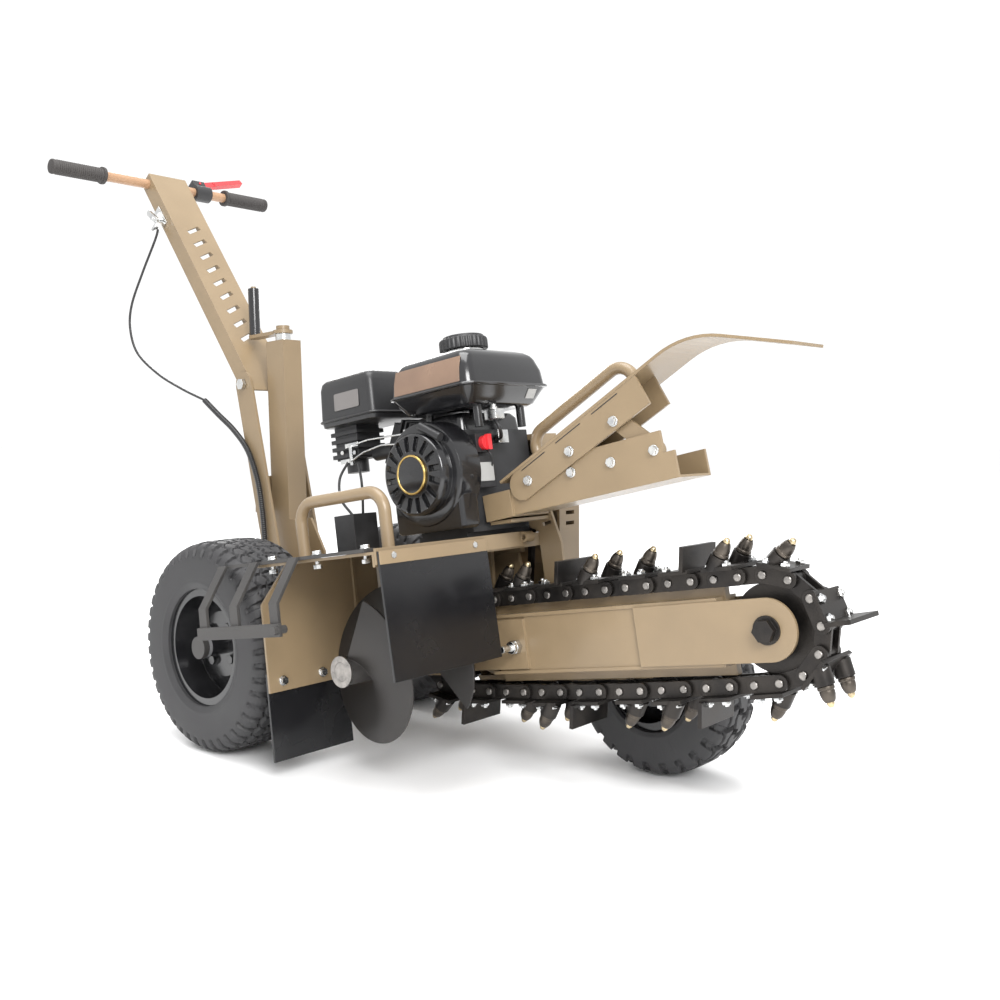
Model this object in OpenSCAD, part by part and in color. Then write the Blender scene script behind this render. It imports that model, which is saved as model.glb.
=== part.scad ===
// Walk-behind trencher: pitched deck, two drive-side tyres, one outrigger wheel,
// tilting chain boom, spoil auger, petrol engine, crank jack and folding handle.
// X is forward, Y is to the machine's left, Z is up, and the ground is Z = 0.

/* [Chassis] */
// Nose-up pitch of the deck in degrees
deck_pitch = 9; // [8:0.5:10]
// Height of the deck's top face above the main axle, square to the deck
deck_h = 143; // [138:1:150]
// Thickness of the deck sheet
deck_t = 5; // [4:1:6]
// Reach of the deck past the right tyre's outer face
deck_right = 11; // [5:1:15]
// Length of the deck's front edge from the main axle
deck_front = 539; // [530:1:560]
// Thickness of the bearing and wheel plates
plate_t = 8; // [6:1:8]

/* [Main wheels] */
// Outside diameter of a main tyre
tyre_d = 406; // [390:1:408]
// Width of a main tyre
tyre_w = 165; // [150:1:170]
// Distance between the outer faces of the main tyres
track_w = 658; // [640:1:660]
// Diameter of the main axle
axle_d = 25; // [20:1:30]

/* [Front wheel] */
// Outside diameter of the front tyre
front_d = 330; // [310:1:332]
// Width of the front tyre
front_w = 125; // [110:1:130]
// Distance of the front axle ahead of the main axle
front_x = 715; // [705:1:760]

/* [Boom] */
// Nose-up pitch of the boom at rest in degrees
boom_pitch = 10; // [8:0.5:12]
// Links in one straight run of the digging chain
run_links = 16; // [14:2:20]
// Pitch of the digging chain
chain_pitch = 42; // [40:1:44]
// Height of the boom's box tube
boom_h = 96; // [90:1:100]
// Width of the boom's box tube
boom_w = 60; // [58:1:62]
// Wall of the boom's box tube
boom_wall = 5; // [4:1:6]
// Diameter of the head shaft
shaft_d = 32; // [28:1:34]
// Outside diameter of the spoil auger
auger_d = 272; // [240:1:276]

/* [Jack] */
// Height of the jack post's top above the main axle
post_top = 617; // [600:1:640]
// Depth of the jack post front to back
post_x = 60; // [55:1:64]
// Width of the jack post
post_y = 50; // [45:1:54]
// Reach of the jack's crank arm
crank_r = 104; // [96:1:108]

/* [Handle] */
// Length of the handle arm from its fold bolt to the handlebar
arm_l = 656; // [600:1:700]
// Rearward lean of the handle arm in degrees
arm_tilt = 38.6; // [36:0.2:42]
// Width of the handle arm's channel
arm_w = 104; // [98:1:110]
// Length of the handlebar
bar_l = 600; // [560:1:640]
// Diameter of the handlebar tube
bar_d = 24; // [22:1:25]

/* [Engine] */
// Radius of the engine's recoil housing
recoil_r = 95; // [88:1:96]
// Width of the fuel tank front to back
tank_l = 205; // [195:1:208]
// Width of the fuel tank across the machine
tank_w = 228; // [210:1:230]

/* [Hidden] */
$fn = 48;
tan_paint = [0.80, 0.68, 0.51];
dark_steel = [0.27, 0.25, 0.23];
zinc = [0.78, 0.78, 0.76];
rubber_black = [0.10, 0.10, 0.11];
gloss_black = [0.07, 0.07, 0.08];

fit = 0.05;          // radial clearance of a running or seated fit
gap = 0.3;           // clearance between faces that stay apart
origin_x = 242.6;     // middle of the machine, ahead of the main axle
origin_y = -43.5;     // middle of the machine, left of the boom's centre plane

axle_z = tyre_d / 2;
wheel_y = (track_w - tyre_w) / 2;
rim_r = 102;
front_rim_r = 76;
front_y = 180;
front_u = front_x * cos(deck_pitch) + (front_d / 2 - axle_z) * sin(deck_pitch);
front_v = -front_x * sin(deck_pitch) + (front_d / 2 - axle_z) * cos(deck_pitch);
fork_in = 97;
fork_out = 2 * front_y - fork_in - plate_t;
panel_u = 226;
deck_edge = track_w / 2 + deck_right;
deck_left = 95;

head_u = 378;
head_w = -54;
head_x = head_u * cos(deck_pitch) - head_w * sin(deck_pitch);
head_z = axle_z + head_u * sin(deck_pitch) + head_w * cos(deck_pitch);
head_plate_y = 55;
sleeve_r = 24;
boom_l = run_links * chain_pitch;
pin_r = chain_pitch / 2 / sin(15);
link_count = 2 * run_links + 12;
roller_r = 11;
chain_sag = 8;
chain_seat = 0.6;   // clearance between the rollers and what they run on
pin_d = 12;
link_h = 26;
arm_plate = 6;
lever_l = 72;
lever_y = head_plate_y + plate_t + 5;
lever_a = 215;
rocker_u = 190;

crank_u = 468;
crank_w = 270;
engine_z = deck_h + gap;
recoil_y = -165;
tank_u = 501;
tank_z = 380;
tank_h = 105;
cap_d = 92;
carb_u = 216;

post_foot_x = -133;
post_lean = 3.5;
post_h = post_top - deck_h - post_foot_x * tan(deck_pitch);
fold_x = -233;
fold_z = axle_z + 521;

// Whole machine, moved so that the origin is under its middle
module machine() {
    translate([-origin_x, -origin_y, 0]) children();
}

// Frame of the deck: x along it, z square to it, origin at the main axle
module on_deck() {
    machine() translate([0, 0, axle_z]) rotate([0, -deck_pitch, 0]) children();
}

// Frame of the boom: x along it, origin on the head shaft
module on_boom() {
    machine() translate([head_x, 0, head_z]) rotate([0, -boom_pitch, 0]) children();
}

// Frame of the handle arm: z along it, origin on the fold bolt
module on_arm() {
    machine() translate([fold_x, 0, fold_z]) rotate([0, -arm_tilt, 0]) children();
}

// Frame of the jack post: z along it, origin at its foot on the deck
module on_post() {
    foot_z = axle_z + deck_h / cos(deck_pitch) + post_foot_x * tan(deck_pitch);
    machine() translate([post_foot_x, 0, foot_z]) rotate([0, -post_lean, 0]) children();
}

// Round bar across the machine between two values of y
module bar_y(d, y0, y1) {
    translate([0, y1, 0]) rotate([90, 0, 0]) cylinder(d = d, h = y1 - y0);
}

// Flat plate in the XZ plane between y0 and y0 + t, from its outline
module plate(outline, y0, t) {
    translate([0, y0 + t, 0]) rotate([90, 0, 0]) linear_extrude(t) polygon(outline);
}

// Flat plate with round ends about two points
module strap(a, b, r, y0, t) {
    run = norm(b - a);
    turn = atan2(b[1] - a[1], b[0] - a[0]);
    translate([a[0], y0 + t, a[1]]) rotate([90, 0, 0]) rotate(turn) linear_extrude(t) union() {
        circle(r);
        translate([run, 0]) circle(r);
        translate([0, -r]) square([run, 2 * r]);
    }
}

// Flat plate with one round end at x0 and a square end at x1
module tongue(x0, x1, r, y0, t) {
    translate([0, y0 + t, 0]) rotate([90, 0, 0]) linear_extrude(t) union() {
        translate([x0, 0]) circle(r);
        translate([min(x0, x1), -r]) square([abs(x1 - x0), 2 * r]);
    }
}

// Box from its low corner to its high corner
module box(a, b) {
    translate(a) cube(b - a);
}

// Ring section turned about the wheel's axis, outer side towards -Y
module turned_y() {
    rotate([90, 0, 0]) rotate_extrude($fn = 96) children();
}

// Hexagon-headed bolt whose head lies towards +z, shank below z = 0
module bolt(d, l) {
    translate([0, 0, -l]) cylinder(d = d, h = l + 0.5);
    cylinder(d = 2.2 * d, h = 0.2 * d);
    translate([0, 0, 0.2 * d]) cylinder(d = 1.9 * d, h = 0.65 * d, $fn = 6);
}

// Tyre section: a squared oval that is open between its beads
module tyre_section(r_out, r_bead, w, wall) {
    mid = (r_out + r_bead - 4) / 2;
    half = (r_out - r_bead + 4) / 2;
    power = 0.48;
    oval = [for (i = [0:23]) let (a = 15 * i)
        [mid + half * sign(cos(a)) * pow(abs(cos(a)), power),
         w / 2 * sign(sin(a)) * pow(abs(sin(a)), power)]];
    bore = [for (i = [0:23]) let (a = 15 * i)
        [mid + (half - wall) * sign(cos(a)) * pow(abs(cos(a)), power),
         (w / 2 - wall) * sign(sin(a)) * pow(abs(sin(a)), power)]];
    difference() {
        polygon(oval);
        polygon(bore);
        square([2 * r_bead, w - 50], center = true);
        square([2 * (r_bead + fit), 2 * w], center = true);
        for (s = [0, 1]) mirror([0, s]) translate([0, w / 2 - 15 - fit]) square([r_bead + 10 + fit, w]);
    }
}

// Pressed wheel rim with its barrel, flanges, dished disc and hub tube
module rim_section(r, w, bore_d, hub_l) {
    barrel = w - 24;
    translate([r - 4, -barrel / 2]) square([4, barrel]);
    translate([r - 4, barrel / 2 - 3]) square([14, 3]);
    translate([r - 4, -barrel / 2]) square([14, 3]);
    polygon([[r - 3, 10], [r - 3, 15], [0.62 * r, 27], [18, 27], [18, 22], [0.6 * r, 22]]);
    translate([bore_d / 2 + fit, -hub_l / 2]) square([20 - bore_d / 2, hub_l]);
}

module rim_with_lugs(r, w, bore_d, hub_l) {
    difference() {
        turned_y() rim_section(r, w, bore_d, hub_l);
        for (i = [0:3]) rotate([0, 90 * i + 45, 0]) translate([0.42 * r, 0, 0]) bar_y(10.1, -40, 0);
    }
    for (i = [0:3]) rotate([0, 90 * i + 45, 0]) translate([0.42 * r, -27, 0]) rotate([90, 0, 0])
        bolt(10, 9);
}

// Deck, its lips, the panels and plates welded under it, and the axle tube
module chassis() {
    low = deck_h - deck_t;
    color(tan_paint) on_deck() difference() {
        union() {
            box([-150, -126, low], [panel_u + 10, 126, deck_h]);
            box([panel_u, -deck_edge, low], [deck_front, deck_left, deck_h]);
            box([deck_front - deck_t, -deck_edge, low - 20], [deck_front, deck_left, low + 1]);
            rear_panel(low);
            for (y = [-126, 126 - plate_t])
                plate([[-150, low + 1], [-60, -42], [60, -42], [panel_u + 10, 40],
                       [panel_u + 10, low + 1]], y, plate_t);
            bar_y(axle_d + 16, -wheel_y + 64, wheel_y - 64);
            head_plate(-head_plate_y - plate_t, 300);
            head_plate(head_plate_y, 150);
            wheel_plate(fork_in);
            wheel_plate(fork_out);
            box([panel_u, deck_left - 1, low - 30], [deck_front - 60, fork_out + plate_t, low]);
        }
        bar_y(axle_d + 2 * fit, -400, 400);
        translate([head_u, 0, head_w]) bar_y(2 * sleeve_r + 2 * fit, -70, 70);
        translate([head_u, 0, head_w]) bar_y(shaft_d + 6, 80, 120);
        translate([front_u, 0, front_v]) bar_y(16 + 2 * fit, 80, 300);
        translate([rocker_u, 0, head_w]) bar_y(16 + 2 * fit, 40, 70);
        frame_bolt_places() translate([0, 0, -30]) cylinder(d = 8 + 2 * fit, h = 60);
        panel_bolt_places() translate([0, 0, -20]) cylinder(d = 8 + 2 * fit, h = 40);
        beam_screw_places() translate([0, 0, -30]) cylinder(d = 6 + 2 * fit, h = 60);
        box([head_u - 30, fork_in + plate_t + 1, low - 40], [deck_front, 168, low + 1]);
    }
}

// Panel between the right tyre and the auger, with one corner cut off
module rear_panel(low) {
    translate([panel_u, 0, 0]) rotate([90, 0, 90]) linear_extrude(deck_t) polygon([
        [-60, low + 1], [-60, -20], [-95, -84], [-deck_edge, -84], [-deck_edge, low - 66],
        [-deck_edge + 62, low + 1]]);
}

// Plate that hangs from the deck and carries the boom's pivot sleeve
module head_plate(y, rear) {
    plate([[rear, deck_h - 1], [rear, head_w - 20], [head_u - 50, head_w - 46],
           [head_u + 46, head_w - 46], [head_u + 60, deck_h - 1]], y, plate_t);
}

// Plate that carries the front wheel and the drive-side bearing
module wheel_plate(y) {
    plate([[head_u - 60, deck_h - deck_t - 1], [head_u - 60, head_w - 50],
           [head_u + 60, front_v - 8], [front_u + 10, front_v - 30],
           [front_u + 40, front_v - 12], [front_u + 40, front_v + 20],
           [front_u + 20, front_v + 30], [head_u + 120, front_v + 48],
           [head_u + 90, deck_h - deck_t - 30], [head_u + 90, deck_h - deck_t - 1]], y, plate_t);
}

// Bolts down through the deck, along the guard bar and the engine's feet
module frame_bolt_places() {
    for (u = [250, 375, 500]) translate([u, -deck_edge + 18, deck_h + 6]) children();
}

// Bolts that hold the rear flap to its panel, heads forward
module panel_bolt_places() {
    for (y = [-310, -220]) translate([panel_u + deck_t, y, -66]) rotate([0, 90, 0]) children();
}

module main_axle() {
    end = track_w / 2 - 2;
    color(zinc) on_deck() {
        bar_y(axle_d, -end, end);
        for (s = [-1, 1]) translate([0, s * (end - 4), 0])
            bar_y(axle_d + 18, -6, 6);
    }
}

module right_rim() {
    color(gloss_black) on_deck() translate([0, -wheel_y, 0]) main_rim();
}

module left_rim() {
    color(gloss_black) on_deck() translate([0, wheel_y, 0]) mirror([0, 1, 0]) main_rim();
}

module main_rim() {
    rim_with_lugs(rim_r, tyre_w, axle_d, tyre_w - 40);
}

module right_tyre() {
    color(rubber_black) on_deck() translate([0, -wheel_y, 0]) turned_y()
        tyre_half(tyre_d / 2, rim_r, tyre_w);
}

module left_tyre() {
    color(rubber_black) on_deck() translate([0, wheel_y, 0]) turned_y()
        tyre_half(tyre_d / 2, rim_r, tyre_w);
}

// The part of a tyre's section that lies on the positive side of its axis
module tyre_half(r, bead, w) {
    intersection() {
        tyre_section(r, bead, w, 11);
        translate([0, -w]) square([2 * r, 2 * w]);
    }
}

module front_axle_bolt() {
    color(zinc) on_deck() translate([front_u, 0, front_v]) {
        bar_y(16, fork_in - 14, fork_out + plate_t + 14);
        for (y = [fork_in - 12, fork_out + plate_t + gap])
            translate([0, y, 0]) bar_y(30, 0, 12 - gap);
    }
}

module front_rim() {
    color(gloss_black) on_deck() translate([front_u, front_y, front_v])
        rim_with_lugs(front_rim_r, front_w, 16, 2 * (front_y - fork_in - plate_t) - 2);
}

module front_tyre() {
    color(rubber_black) on_deck() translate([front_u, front_y, front_v]) turned_y()
        tyre_half(front_d / 2, front_rim_r, front_w);
}

// Square jack tube with its top plate, base gussets and lock knob
module jack_post() {
    color(tan_paint) difference() {
        union() {
            on_post() difference() {
                box([-post_x / 2, -post_y / 2, -10], [post_x / 2, post_y / 2, post_h]);
                box([-post_x / 2 + 4, -post_y / 2 + 4, -20], [post_x / 2 - 4, post_y / 2 - 4, post_h - 6]);
                cylinder(d = 20 + 2 * fit, h = 2 * post_h);
            }
            on_post() for (s = [-1, 1])
                plate([[post_x / 2 - 4, -10], [90, 14], [90, 24], [48, 96], [post_x / 2 - 4, 96]],
                      s * (post_y / 2 - 3) - 3, 6);
        }
        on_deck() box([-400, -200, -100], [200, 200, deck_h]);
    }
}

module jack_screw() {
    color(zinc) on_post() {
        translate([0, 0, 60]) cylinder(d = 20, h = post_h - 40);
        translate([0, 0, post_h + gap]) cylinder(d = 34, h = 16);
    }
}

// Flat crank arm that points to the rear, with the pin for its grip
module jack_crank() {
    color(tan_paint) on_post() translate([0, 0, post_h + 16 + 2 * gap]) difference() {
        union() {
            cylinder(d = 44, h = 8);
            translate([-crank_r, -14, 0]) cube([crank_r, 28, 8]);
            translate([-crank_r, 0, 0]) cylinder(d = 28, h = 8);
            translate([-crank_r, 0, 0]) cylinder(d = 12, h = 122);
            cylinder(d = 30, h = 18);
        }
        translate([0, 0, -1]) cylinder(d = 20 + 2 * fit, h = 6);
    }
}

module crank_grip() {
    color(gloss_black) on_post() translate([-crank_r, 0, post_h + 16 + 2 * gap + 8 + gap])
        difference() {
            cylinder(d = 25, h = 109);
            translate([0, 0, -1]) cylinder(d = 12 + 4 * fit, h = 120);
        }
}

// Arm under the deck that the jack turns, on its pin in the left head plate
module lift_rocker() {
    pin = [lever_l * cos(lever_a), lever_l * sin(lever_a)];
    color(dark_steel) on_deck() translate([rocker_u, 0, head_w]) difference() {
        union() {
            strap([0, 0], pin, 18, lever_y, 6);
            strap([0, 0], [-40, 95], 18, lever_y, 6);
            bar_y(16, head_plate_y - 4, lever_y + 6);
            bar_y(36, head_plate_y + plate_t + gap, lever_y);
            translate([pin[0], 0, pin[1]]) bar_y(12, lever_y + 2, lever_y + 18);
        }
    }
}

// Rod that joins the rocker to the boom's lever, with a long eye at the boom end
module lift_link() {
    pin = [lever_l * cos(lever_a), lever_l * sin(lever_a)];
    reach = head_u - rocker_u;
    color(dark_steel) on_deck() translate([rocker_u + pin[0], 0, head_w + pin[1]])
        difference() {
            strap([0, 0], [reach, 0], 15, lever_y + 6 + gap, 8);
            bar_y(12 + 2 * fit, 60, 100);
            translate([reach, 0, 0]) bar_y(14, 60, 100);
        }
}

// Pair of straps that hold the handle's fold bolt above the deck
module mast() {
    foot = [-128, axle_z + 142];
    color(tan_paint) difference() {
        machine() {
            for (s = [-1, 1])
                translate([0, s * (arm_w / 2 + gap + 3), 0])
                    strap([fold_x, fold_z], foot, 28, -3, 6);
            strap_tie(foot);
        }
        machine() translate([fold_x, 0, fold_z]) bar_y(14 + 2 * fit, -90, 90);
        on_deck() box([-400, -200, -100], [200, 200, deck_h]);
        on_post() box([-post_x / 2 - gap, -post_y / 2 - gap, -100],
                      [post_x / 2 + gap, post_y / 2 + gap, 900]);
    }
}

// Cross plate that ties the two mast straps together behind the post
module strap_tie(foot) {
    t = 0.35;
    mid = [foot[0] + t * (fold_x - foot[0]) - 24, foot[1] + t * (fold_z - foot[1])];
    box([mid[0] - 4, -arm_w / 2 - 2, mid[1] - 40], [mid[0] + 4, arm_w / 2 + 2, mid[1] + 40]);
}

// Bolt and nuts on which the handle folds
module fold_bolt() {
    half = arm_w / 2 + gap + 6;
    machine() translate([fold_x, 0, fold_z]) {
        bar_y(14, -half - 1, half + 1);
        for (s = [-1, 1]) translate([0, s * (half + gap + 5), 0]) rotate([90, 0, 0])
            cylinder(d = 26, h = 10, center = true, $fn = 6);
    }
}

// Bent channel with its cut slots; its flanges close the sides
module handle_arm() {
    color(tan_paint) on_arm() difference() {
        union() {
            box([16, -arm_w / 2, -32], [20, arm_w / 2, arm_l + 16]);
            box([-20, -arm_w / 2, -20], [20, -arm_w / 2 + 4, arm_l + 16]);
            box([-20, arm_w / 2 - 4, -20], [20, arm_w / 2, arm_l + 16]);
            box([-20, -arm_w / 2, arm_l + 14], [20, arm_w / 2, arm_l + 18]);
        }
        bar_y(14 + 2 * fit, -90, 90);
        translate([0, 0, arm_l]) bar_y(bar_d + 2 * fit, -90, 90);
        for (i = [0:8]) translate([18, 0, 130 + 44 * i]) rotate([30, 0, 0])
            cube([10, 46, 11], center = true);
    }
}

module handlebar() {
    color([0.71, 0.51, 0.35]) on_arm() translate([0, 0, arm_l]) difference() {
        bar_y(bar_d, -bar_l / 2, bar_l / 2);
        bar_y(bar_d - 5, -bar_l, bar_l);
    }
}

module handle_grips() {
    color([0.22, 0.21, 0.20]) on_arm() translate([0, 0, arm_l])
        for (s = [0, 1]) mirror([0, s, 0]) difference() {
            union() {
                bar_y(36, -bar_l / 2 - 4, -bar_l / 2 + 128);
                bar_y(42, -bar_l / 2 + 122, -bar_l / 2 + 130);
            }
            bar_y(bar_d + 2 * fit, -bar_l / 2, 0);
        }
}

// Clamp round the bar that carries the clutch lever's pivot
module lever_clamp() {
    color(gloss_black) on_arm() translate([0, 0, arm_l]) difference() {
        union() {
            bar_y(bar_d + 18, 80, 124);
            box([-12, 84, 8], [12, 120, 36]);
        }
        bar_y(bar_d + 2 * fit, 0, 200);
        box([-6.3, 90, 15], [6.3, 130, 60]);
        translate([-50, 104, 27]) rotate([0, 90, 0]) cylinder(d = 6 + 2 * fit, h = 100);
    }
}

// Red lever on its cross pin, rising away from the left grip
module clutch_lever() {
    color([0.85, 0.15, 0.18]) on_arm() translate([0, 104, arm_l + 27]) {
        translate([-14, 0, 0]) rotate([0, 90, 0]) cylinder(d = 6, h = 28);
        rotate([0, 90, 0]) cylinder(d = 20, h = 11, center = true);
        rotate([18, 0, 0]) translate([-6, 0, -8]) cube([12, 60, 16]);
        rotate([18, 0, 0]) translate([-8, 55, -7]) cube([16, 105, 13]);
    }
}

// Plated bracket and small bell crank on the arm's right flange
module cable_bracket() {
    color(zinc) on_arm() translate([-16, -arm_w / 2, arm_l - 110]) {
        box([-18, -4, -30], [20, -gap, 26]);
        box([-14, -28, -30], [14, -3.5, -26]);
        bar_y(10, -24, -3);
        strap([-4, 22], [8, -14], 7, -22, 5);
    }
}

// Ring of points for a tube swept along a list of points
function leg(p, i) = let (a = p[max(i - 1, 0)], b = p[min(i + 1, len(p) - 1)]) (b - a) / norm(b - a);
function side(t) = let (c = cross(t, [0, 1, 0.001])) c / norm(c);
function ring(p, i, r, n) = let (t = leg(p, i), u = side(t), v = cross(t, u))
    [for (k = [0:n - 1]) p[i] + r * (cos(360 * k / n) * u + sin(360 * k / n) * v)];
// Smooth path: each stretch between hand-chosen points is a cubic through them
function bend(a, b, c, d, t) = 0.5 * ((2 * b) + (c - a) * t + (2 * a - 5 * b + 4 * c - d) * t * t
    + (3 * b - a - 3 * c + d) * t * t * t);
function smooth(p, n) = [for (i = [0:len(p) - 2], k = [0:n - 1])
    bend(p[max(i - 1, 0)], p[i], p[i + 1], p[min(i + 2, len(p) - 1)], k / n), p[len(p) - 1]];

// Tube swept along a smooth path
module swept(points, r, n, steps) {
    path = smooth(points, steps);
    rings = [for (i = [0:len(path) - 1]) ring(path, i, r, n)];
    flat = [for (q = rings) each q];
    last = (len(path) - 1) * n;
    walls = [for (i = [0:len(path) - 2], k = [0:n - 1]) let (m = (k + 1) % n)
        [i * n + k, i * n + m, (i + 1) * n + m, (i + 1) * n + k]];
    caps = [[for (k = [n - 1:-1:0]) k], [for (k = [0:n - 1]) last + k]];
    polyhedron(flat, concat(walls, caps), convexity = 10);
}

// Route of the clutch cable from the handle bracket to the loom
cable_route = [[-569, -68, 1112.5], [-580, -69, 1088], [-634, -72, 1010], [-680, -74, 935],
    [-686, -75, 875], [-652, -75, 812], [-560, -74, 757], [-460, -71, 718], [-372, -67, 690]];
// Route of the corrugated loom from the cable down to the deck
loom_route = [[-371.4, -67, 689.6], [-318, -66, 656], [-258, -65.6, 620], [-206, -65.6, 575],
    [-170, -65.6, 510], [-152, -65.6, 440], [-144, -65.6, 380], [-141, -65.6, 345],
    [-140.5, -65.6, 327]];

module clutch_cable() {
    color(rubber_black) machine() swept(cable_route, 3, 8, 8);
}

module wiring_loom() {
    color(rubber_black) machine() swept(loom_route, 6.5, 10, 6);
}

// Bent tube grab handle on the deck's right side
module hoop_handle() {
    bend_r = 36;
    color(tan_paint) on_deck() translate([258, -255, deck_h]) hoop(226, 102, bend_r, 22);
}

// Hoop of round tube standing on z = 0, from x = 0 to x = l
module hoop(l, h, bend_r, d) {
    translate([0, 0, gap]) cylinder(d = d, h = h - bend_r - gap);
    translate([l, 0, gap]) cylinder(d = d, h = h - bend_r - gap);
    translate([bend_r, 0, h]) rotate([0, 90, 0]) cylinder(d = d, h = l - 2 * bend_r);
    translate([bend_r, 0, h - bend_r]) rotate([90, 180, 0]) mirror([0, 1, 0])
        rotate_extrude(angle = 90) translate([bend_r, 0]) circle(d = d);
    translate([l - bend_r, 0, h - bend_r]) rotate([90, 0, 0])
        rotate_extrude(angle = 90) translate([bend_r, 0]) circle(d = d);
}

// Flat-bar guard that stands off the deck's right edge beside the tyre
module side_guard() {
    top = deck_h + gap;
    edge = -deck_edge - 8;
    out = edge - 54;
    color(dark_steel) on_deck() difference() {
        union() {
            box([115, edge, top], [panel_u + 1, edge + 14, top + 6]);
            box([panel_u, edge, top], [525, edge + 25, top + 6]);
            for (u = [137, 232, 345]) guard_leg(u, edge, out, top);
            box([125, out - 6, 22], [365, out, 44]);
            translate([357, 0, 33]) bar_y(14, out - 14, out + 12);
        }
        frame_bolt_places() translate([0, 0, -30]) cylinder(d = 8 + 2 * fit, h = 60);
    }
}

// One leg of the guard: out and down from the top bar, then straight down
module guard_leg(u, edge, out, top) {
    translate([u - 11, 0, 0]) rotate([90, 0, 90]) linear_extrude(22) polygon([
        [edge + 1, top], [edge + 1, top + 6], [edge - 3, top + 6], [out, 78], [out, 22],
        [out + 6, 22], [out + 6, 76], [edge, top]]);
}

module rear_flap() {
    color(rubber_black) on_deck() difference() {
        box([panel_u - 5 - gap, -deck_edge, -205], [panel_u - gap, -157, -50]);
        panel_bolt_places() translate([0, 0, -20]) cylinder(d = 8 + 2 * fit, h = 40);
    }
}

// Angle bar across the deck's front edge, with the barrel at its left end
module front_beam() {
    u = deck_front + gap;
    color(tan_paint) on_deck() difference() {
        union() {
            box([u, -deck_edge, deck_h - 22], [u + 5, 32, deck_h + 5]);
            box([u - 24, -deck_edge + 40, deck_h + gap], [u + 5, 32, deck_h + 5]);
            translate([u + 11, 0, deck_h - 6]) bar_y(20, 22, 44);
        }
        translate([u + 11, 0, deck_h - 6]) bar_y(10, 0, 60);
        beam_screw_places() translate([0, 0, -30]) cylinder(d = 6 + 2 * fit, h = 60);
    }
}

// Screws through the front beam and the flap that hangs from it
module beam_screw_places() {
    for (y = [-310, -115]) translate([deck_front + gap + 5, y, deck_h - 9]) rotate([0, 90, 0])
        children();
}

module front_flap() {
    u = deck_front + 2 * gap + 5;
    color(gloss_black) on_deck() difference() {
        plate_x([[0, deck_h], [0, deck_h - 30], [9, -66], [14, -66], [5, deck_h - 30],
                 [5, deck_h]], u, -deck_edge, -81);
        beam_screw_places() translate([0, 0, -30]) cylinder(d = 6 + 2 * fit, h = 60);
    }
}

// Sheet with a side outline in XZ, moved to u, between y0 and y1
module plate_x(outline, u, y0, y1) {
    translate([u, 0, 0]) plate(outline, y0, y1 - y0);
}

// Cover over the drive chain on the machine's left side
module drive_guard() {
    outline = [[head_u - 86, head_w - 20], [head_u - 56, head_w - 86], [head_u + 46, head_w - 86],
        [head_u + 90, head_w + 40], [deck_front + 20, 60], [deck_front + 40, 190],
        [crank_u + 75, crank_w + 62], [crank_u - 60, crank_w + 70], [head_u - 86, 130]];
    centre = [head_u + 55, 95];
    inner = [for (p = outline) centre + 0.955 * (p - centre)];
    y0 = fork_in + plate_t + gap;
    color(tan_paint) on_deck() difference() {
        plate(outline, y0, 62);
        plate(inner, y0 - 1, 58);
        box([100, y0 - 1, deck_h - 60], [deck_front - 59, 260, deck_h + gap]);
        for (z = [150, 170]) translate([deck_front, y0 + 20, z]) cube([80, 26, 7]);
    }
}

module head_shaft() {
    color(zinc) on_deck() translate([head_u, 0, head_w]) bar_y(shaft_d, -298, 148);
}

// Head sprocket: short teeth that stop inside the chain's rollers
module head_sprocket() {
    tip = pin_r - roller_r - chain_seat;
    color(dark_steel) on_boom() difference() {
        union() {
            bar_y(2 * tip - 14, -8, 8);
            for (i = [0:11]) rotate([0, 30 * i, 0]) translate([tip - 12, -7, -7]) cube([11, 14, 14]);
            bar_y(66, -14, 14);
        }
        bar_y(shaft_d + 2 * fit, -40, 40);
    }
}

// Flanged bearings on the outer faces of the right head plate and left wheel plate
module head_bearings() {
    color(dark_steel) on_deck() translate([head_u, 0, head_w]) {
        for (y = [-head_plate_y - plate_t - gap - 14, fork_in - 14 - gap]) difference() {
            union() {
                translate([0, y, 0]) bar_y(84, y < 0 ? 8 : 0, y < 0 ? 14 : 6);
                translate([0, y, 0]) bar_y(62, 0, 14);
            }
            bar_y(shaft_d + 2 * fit, -120, 120);
        }
    }
}

// Spiral flight from the near end back towards the boom
module auger() {
    color(dark_steel) on_deck() translate([head_u, 0, head_w]) {
        difference() {
            bar_y(50, -294, -82);
            bar_y(shaft_d + 2 * fit, -300, -60);
        }
        flight(23, auger_d / 2, -292, -90, 1.3, 60, 5);
        difference() {
            bar_y(54, -298.5, -294 - gap);
            bar_y(shaft_d + 2 * fit, -400, -200);
        }
    }
}

// Helical sheet: inner radius, outer radius, two ends along y, turns and start angle
module flight(r0, r1, y0, y1, turns, start, t) {
    n = 44;
    rings = [for (i = [0:n]) let (a = start - 360 * turns * i / n, y = y0 + (y1 - y0 - t) * i / n)
        each [[r0 * cos(a), y, r0 * sin(a)], [r1 * cos(a), y, r1 * sin(a)],
              [r1 * cos(a), y + t, r1 * sin(a)], [r0 * cos(a), y + t, r0 * sin(a)]]];
    walls = [for (i = [0:n - 1], k = [0:3]) let (a = 4 * i + k, b = 4 * i + (k + 1) % 4)
        each [[a + 4, a, b], [b + 4, a + 4, b]]];
    ends = [[2, 1, 0], [3, 2, 0], [4 * n, 4 * n + 1, 4 * n + 2], [4 * n, 4 * n + 2, 4 * n + 3]];
    polyhedron(rings, concat(walls, ends), convexity = 10);
}

module driven_sprocket() {
    color(dark_steel) on_deck() translate([head_u, 0, head_w]) difference() {
        union() {
            bar_y(104, 132, 138);
            bar_y(56, 124, 146);
        }
        bar_y(shaft_d + 2 * fit, 100, 200);
    }
}

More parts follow.
